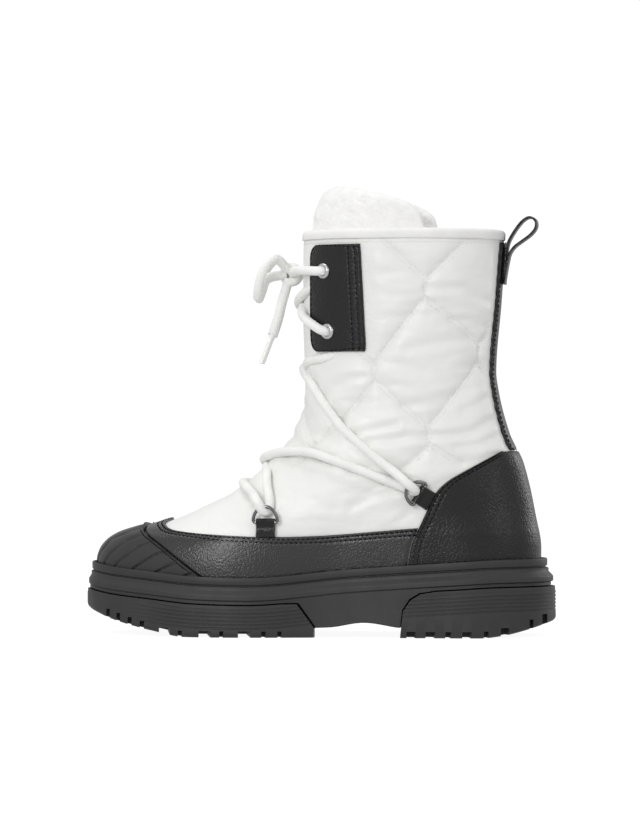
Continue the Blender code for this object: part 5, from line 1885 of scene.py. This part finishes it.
def stitch_piece(name, lines, thread, slot, **sizes):
    """Rows of stitches as one piece."""
    points, edges = [], []
    for line in lines:
        base = len(points)
        points += metres(line)
        edges += [(base + i, base + i + 1) for i in range(len(line) - 1)]
    mesh = bpy.data.meshes.new(name)
    mesh.from_pydata(points, edges, [])
    item = bpy.data.objects.new(name, mesh)
    bpy.context.scene.collection.objects.link(item)
    tree = bpy.data.node_groups["Stitches"]
    modifier = item.modifiers.new("Stitches", "NODES")
    modifier.node_group = tree
    sizes["Thread"] = finish(thread)
    for socket in tree.interface.items_tree:
        if socket.name in sizes and socket.in_out == "INPUT":
            modifier[socket.identifier] = sizes[socket.name]
    item.update_tag()
    bpy.context.view_layer.update()
    bake(item)
    return dress(item, slot)


def rows_at(grid, thick, axis, inset, from_end, span=(0.0, 1.0)):
    """Line on an overlay at a distance in from one border: its columns' ends or its rows' ends."""
    level, turn = grid
    edges = border_distance(surface(level, turn))
    edge = edges[(0 if axis == "columns" else 2) + (1 if from_end else 0)]
    if axis == "rows":
        level, turn, edge = level.T, turn.T, edge.T
    line = []
    count = len(level)
    for i in range(int(span[0] * (count - 1)), int(span[1] * (count - 1)) + 1):
        order = np.argsort(edge[i])
        if edge[i].max() < 2 * inset:
            continue
        at_level = np.interp(inset, edge[i][order], level[i][order])
        at_turn = np.interp(inset, edge[i][order], turn[i][order])
        line.append(last(at_level, at_turn, OVERLAY_GAP + thick - 0.12))
    return np.array(line)


def quilt_lines(puff):
    """The quilting's double rows of stitches on both sides of the shaft."""
    turns, travel = arc_table()
    lines = []
    for k in range(-1, 6):
        s = QUILT_START + QUILT_STEP * k
        vertex = QUILT_HEIGHT + (QUILT_RISE if k % 2 else 0.0)
        for n in range(-1, 2):
            z = vertex - 2 * QUILT_RISE * n
            runs = [((s, z - QUILT_JOIN), (s, z + QUILT_JOIN))]
            for way in (-1, 1):
                runs.append(((s, z + QUILT_JOIN), (s + way * QUILT_STEP, z + QUILT_RISE - QUILT_JOIN)))
            for start, stop in runs:
                for aside in (-QUILT_ROW_HALF, QUILT_ROW_HALF):
                    lines.append(quilt_line(start, stop, aside, turns, travel, puff))
    kept = [line for whole in lines for line in whole if len(line) > 2]
    return kept + [line * (1.0, -1.0, 1.0) + (0.0, 2 * SIDE_SHIFT, 0.0) for line in kept]


def quilt_line(start, stop, aside, turns, travel, puff):
    """Visible parts of one row of stitches of the quilting."""
    start, stop = np.array(start), np.array(stop)
    run = (stop - start) / np.linalg.norm(stop - start)
    share = np.linspace(0.0, 1.0, 30)[:, None]
    flat = start + (stop - start) * share + aside * np.array([-run[1], run[0]])
    round_shaft = np.interp(flat[:, 0], [row[1] for row in QUILT_PLACES], [row[0] for row in QUILT_PLACES])
    turn = np.interp(round_shaft, travel, turns)
    level = flat[:, 1] - QUILT_TILT * (flat[:, 0] - QUILT_START)
    plain = surface(level, turn)
    open_shell = distance_from_overlays(level, turn, plain[:, 0]) > 2.0
    open_shell &= (level > QUILT_FOOT) & (level < COLLAR - COLLAR_SEAM)
    open_shell &= (flat[:, 0] > 1.0) & (turn < math.radians(QUILT_FRONT))
    points = last(level, turn, shell_relief(level, turn, puff) + 0.05)
    lines, line = [], []
    for point, shown in zip(points, open_shell):
        if shown:
            line.append(point)
        elif line:
            lines.append(np.array(line))
            line = []
    if line:
        lines.append(np.array(line))
    return lines


def make_stitches(looks):
    stitch_tree()
    dark = []
    counter, rand, strip = counter_grid(), rand_grid(), strip_grid()
    for inset in COUNTER_SEAMS:
        for from_end in (False, True):
            dark.append(rows_at(counter, COUNTER_THICK, "columns", inset, from_end, COUNTER_SPAN))
    for inset in RAND_SEAMS:
        dark.append(rows_at(rand, RAND_THICK, "rows", inset, True))
    for from_end in (False, True):
        dark.append(rows_at(strip, STRIP_THICK, "columns", BORDER_SEAM, from_end))
    for _, sign in SIDES:
        tab = tab_grid(sign)
        for from_end in (False, True):
            dark.append(rows_at(tab, TAB_THICK, "rows", BORDER_SEAM, from_end, TAB_SPAN))
        dark.append(rows_at(tab, TAB_THICK, "columns", BORDER_SEAM, sign > 0, TAB_SPAN))
        for fold in TAB_FOLDS:
            dark.append(rows_at(tab, TAB_THICK, "columns", fold, sign < 0, TAB_SPAN))
    pitch = looks.stitch_pitch
    stitch_piece("stitches_dark", dark, "black_thread", "leather", Pitch=pitch, Length=DARK_STITCH * pitch)
    lines = quilt_lines(looks.puff / MM)
    for span in COLLAR_SEAM_TURNS:
        turn = np.linspace(*np.radians(span), 120)
        level = np.full(120, COLLAR - COLLAR_SEAM)
        lines.append(last(level, turn, shell_relief(level, turn, looks.puff / MM) + 0.1))
    sizes = {"Pitch": pitch, "Length": QUILT_STITCH * pitch, "Radius": QUILT_THREAD * MM}
    stitch_piece("stitches_quilting", lines, "white_thread", "nylon", **sizes)


# Operators


class BootOperator:
    """Shared form of the boot's operators."""

    bl_options = {"REGISTER", "UNDO"}

    def execute(self, context):
        self.make(context.scene.boot_looks)
        return {"FINISHED"}


class BOOT_OT_stage(BootOperator, bpy.types.Operator):
    """Makes the finishes, the camera, the lights and the floor"""

    bl_idname = "boot.stage"
    bl_label = "Stage and Finishes"

    def make(self, looks):
        make_finishes(looks)
        make_stage()


class BOOT_OT_lace(BootOperator, bpy.types.Operator):
    """Makes the bow's free cords and the lace on the boot"""

    bl_idname = "boot.lace"
    bl_label = "Lace"

    def make(self, looks):
        make_cords(looks)
        make_laces(looks)


class BOOT_OT_shell(BootOperator, bpy.types.Operator):
    """Makes the quilted shell with its lining, and the collar's tape"""

    bl_idname = "boot.shell"
    bl_label = "Quilted Shell"

    def make(self, looks):
        make_shell(looks)
        make_binding()


class BOOT_OT_fleece(BootOperator, bpy.types.Operator):
    """Makes the fleece tongue and footbed"""

    bl_idname = "boot.fleece"
    bl_label = "Fleece"

    def make(self, looks):
        make_tongue(looks)
        make_insole(looks)


class BOOT_OT_overlays(BootOperator, bpy.types.Operator):
    """Makes the toe cap, the leather overlays and the pull loop"""

    bl_idname = "boot.overlays"
    bl_label = "Overlays"

    def make(self, looks):
        make_overlays()


class BOOT_OT_sole(BootOperator, bpy.types.Operator):
    """Makes the midsole and both outsoles"""

    bl_idname = "boot.sole"
    bl_label = "Sole"

    def make(self, looks):
        make_sole()


class BOOT_OT_hardware(BootOperator, bpy.types.Operator):
    """Makes the eyelets, the lace rings and their tabs"""

    bl_idname = "boot.hardware"
    bl_label = "Hardware"

    def make(self, looks):
        make_eyelets()
        make_rings()


class BOOT_OT_stitches(BootOperator, bpy.types.Operator):
    """Lays the seams' stitches"""

    bl_idname = "boot.stitches"
    bl_label = "Stitches"

    def make(self, looks):
        make_stitches(looks)


class BOOT_PT_looks(bpy.types.Panel):
    """Sidebar panel of the boot's sizes and colours"""

    bl_idname = "BOOT_PT_looks"
    bl_label = "Winter Boot"
    bl_space_type = "VIEW_3D"
    bl_region_type = "UI"
    bl_category = "Boot"

    def draw(self, context):
        looks = context.scene.boot_looks
        for name in BootLooks.__annotations__:
            self.layout.prop(looks, name)
        for operator in OPERATORS:
            self.layout.operator(operator.bl_idname)


OPERATORS = (
    BOOT_OT_stage,
    BOOT_OT_lace,
    BOOT_OT_shell,
    BOOT_OT_fleece,
    BOOT_OT_overlays,
    BOOT_OT_sole,
    BOOT_OT_hardware,
    BOOT_OT_stitches,
)
CLASSES = (BootLooks,) + OPERATORS + (BOOT_PT_looks,)


def register():
    for item in CLASSES:
        bpy.utils.register_class(item)
    bpy.types.Scene.boot_looks = PointerProperty(type=BootLooks)


def unregister():
    del bpy.types.Scene.boot_looks
    for item in reversed(CLASSES):
        bpy.utils.unregister_class(item)


def main():
    register()
    bpy.ops.boot.stage()
    bpy.ops.boot.lace()
    bpy.ops.boot.shell()
    bpy.ops.boot.fleece()
    bpy.ops.boot.overlays()
    bpy.ops.boot.sole()
    bpy.ops.boot.hardware()
    bpy.ops.boot.stitches()


if __name__ == "__main__":
    main()
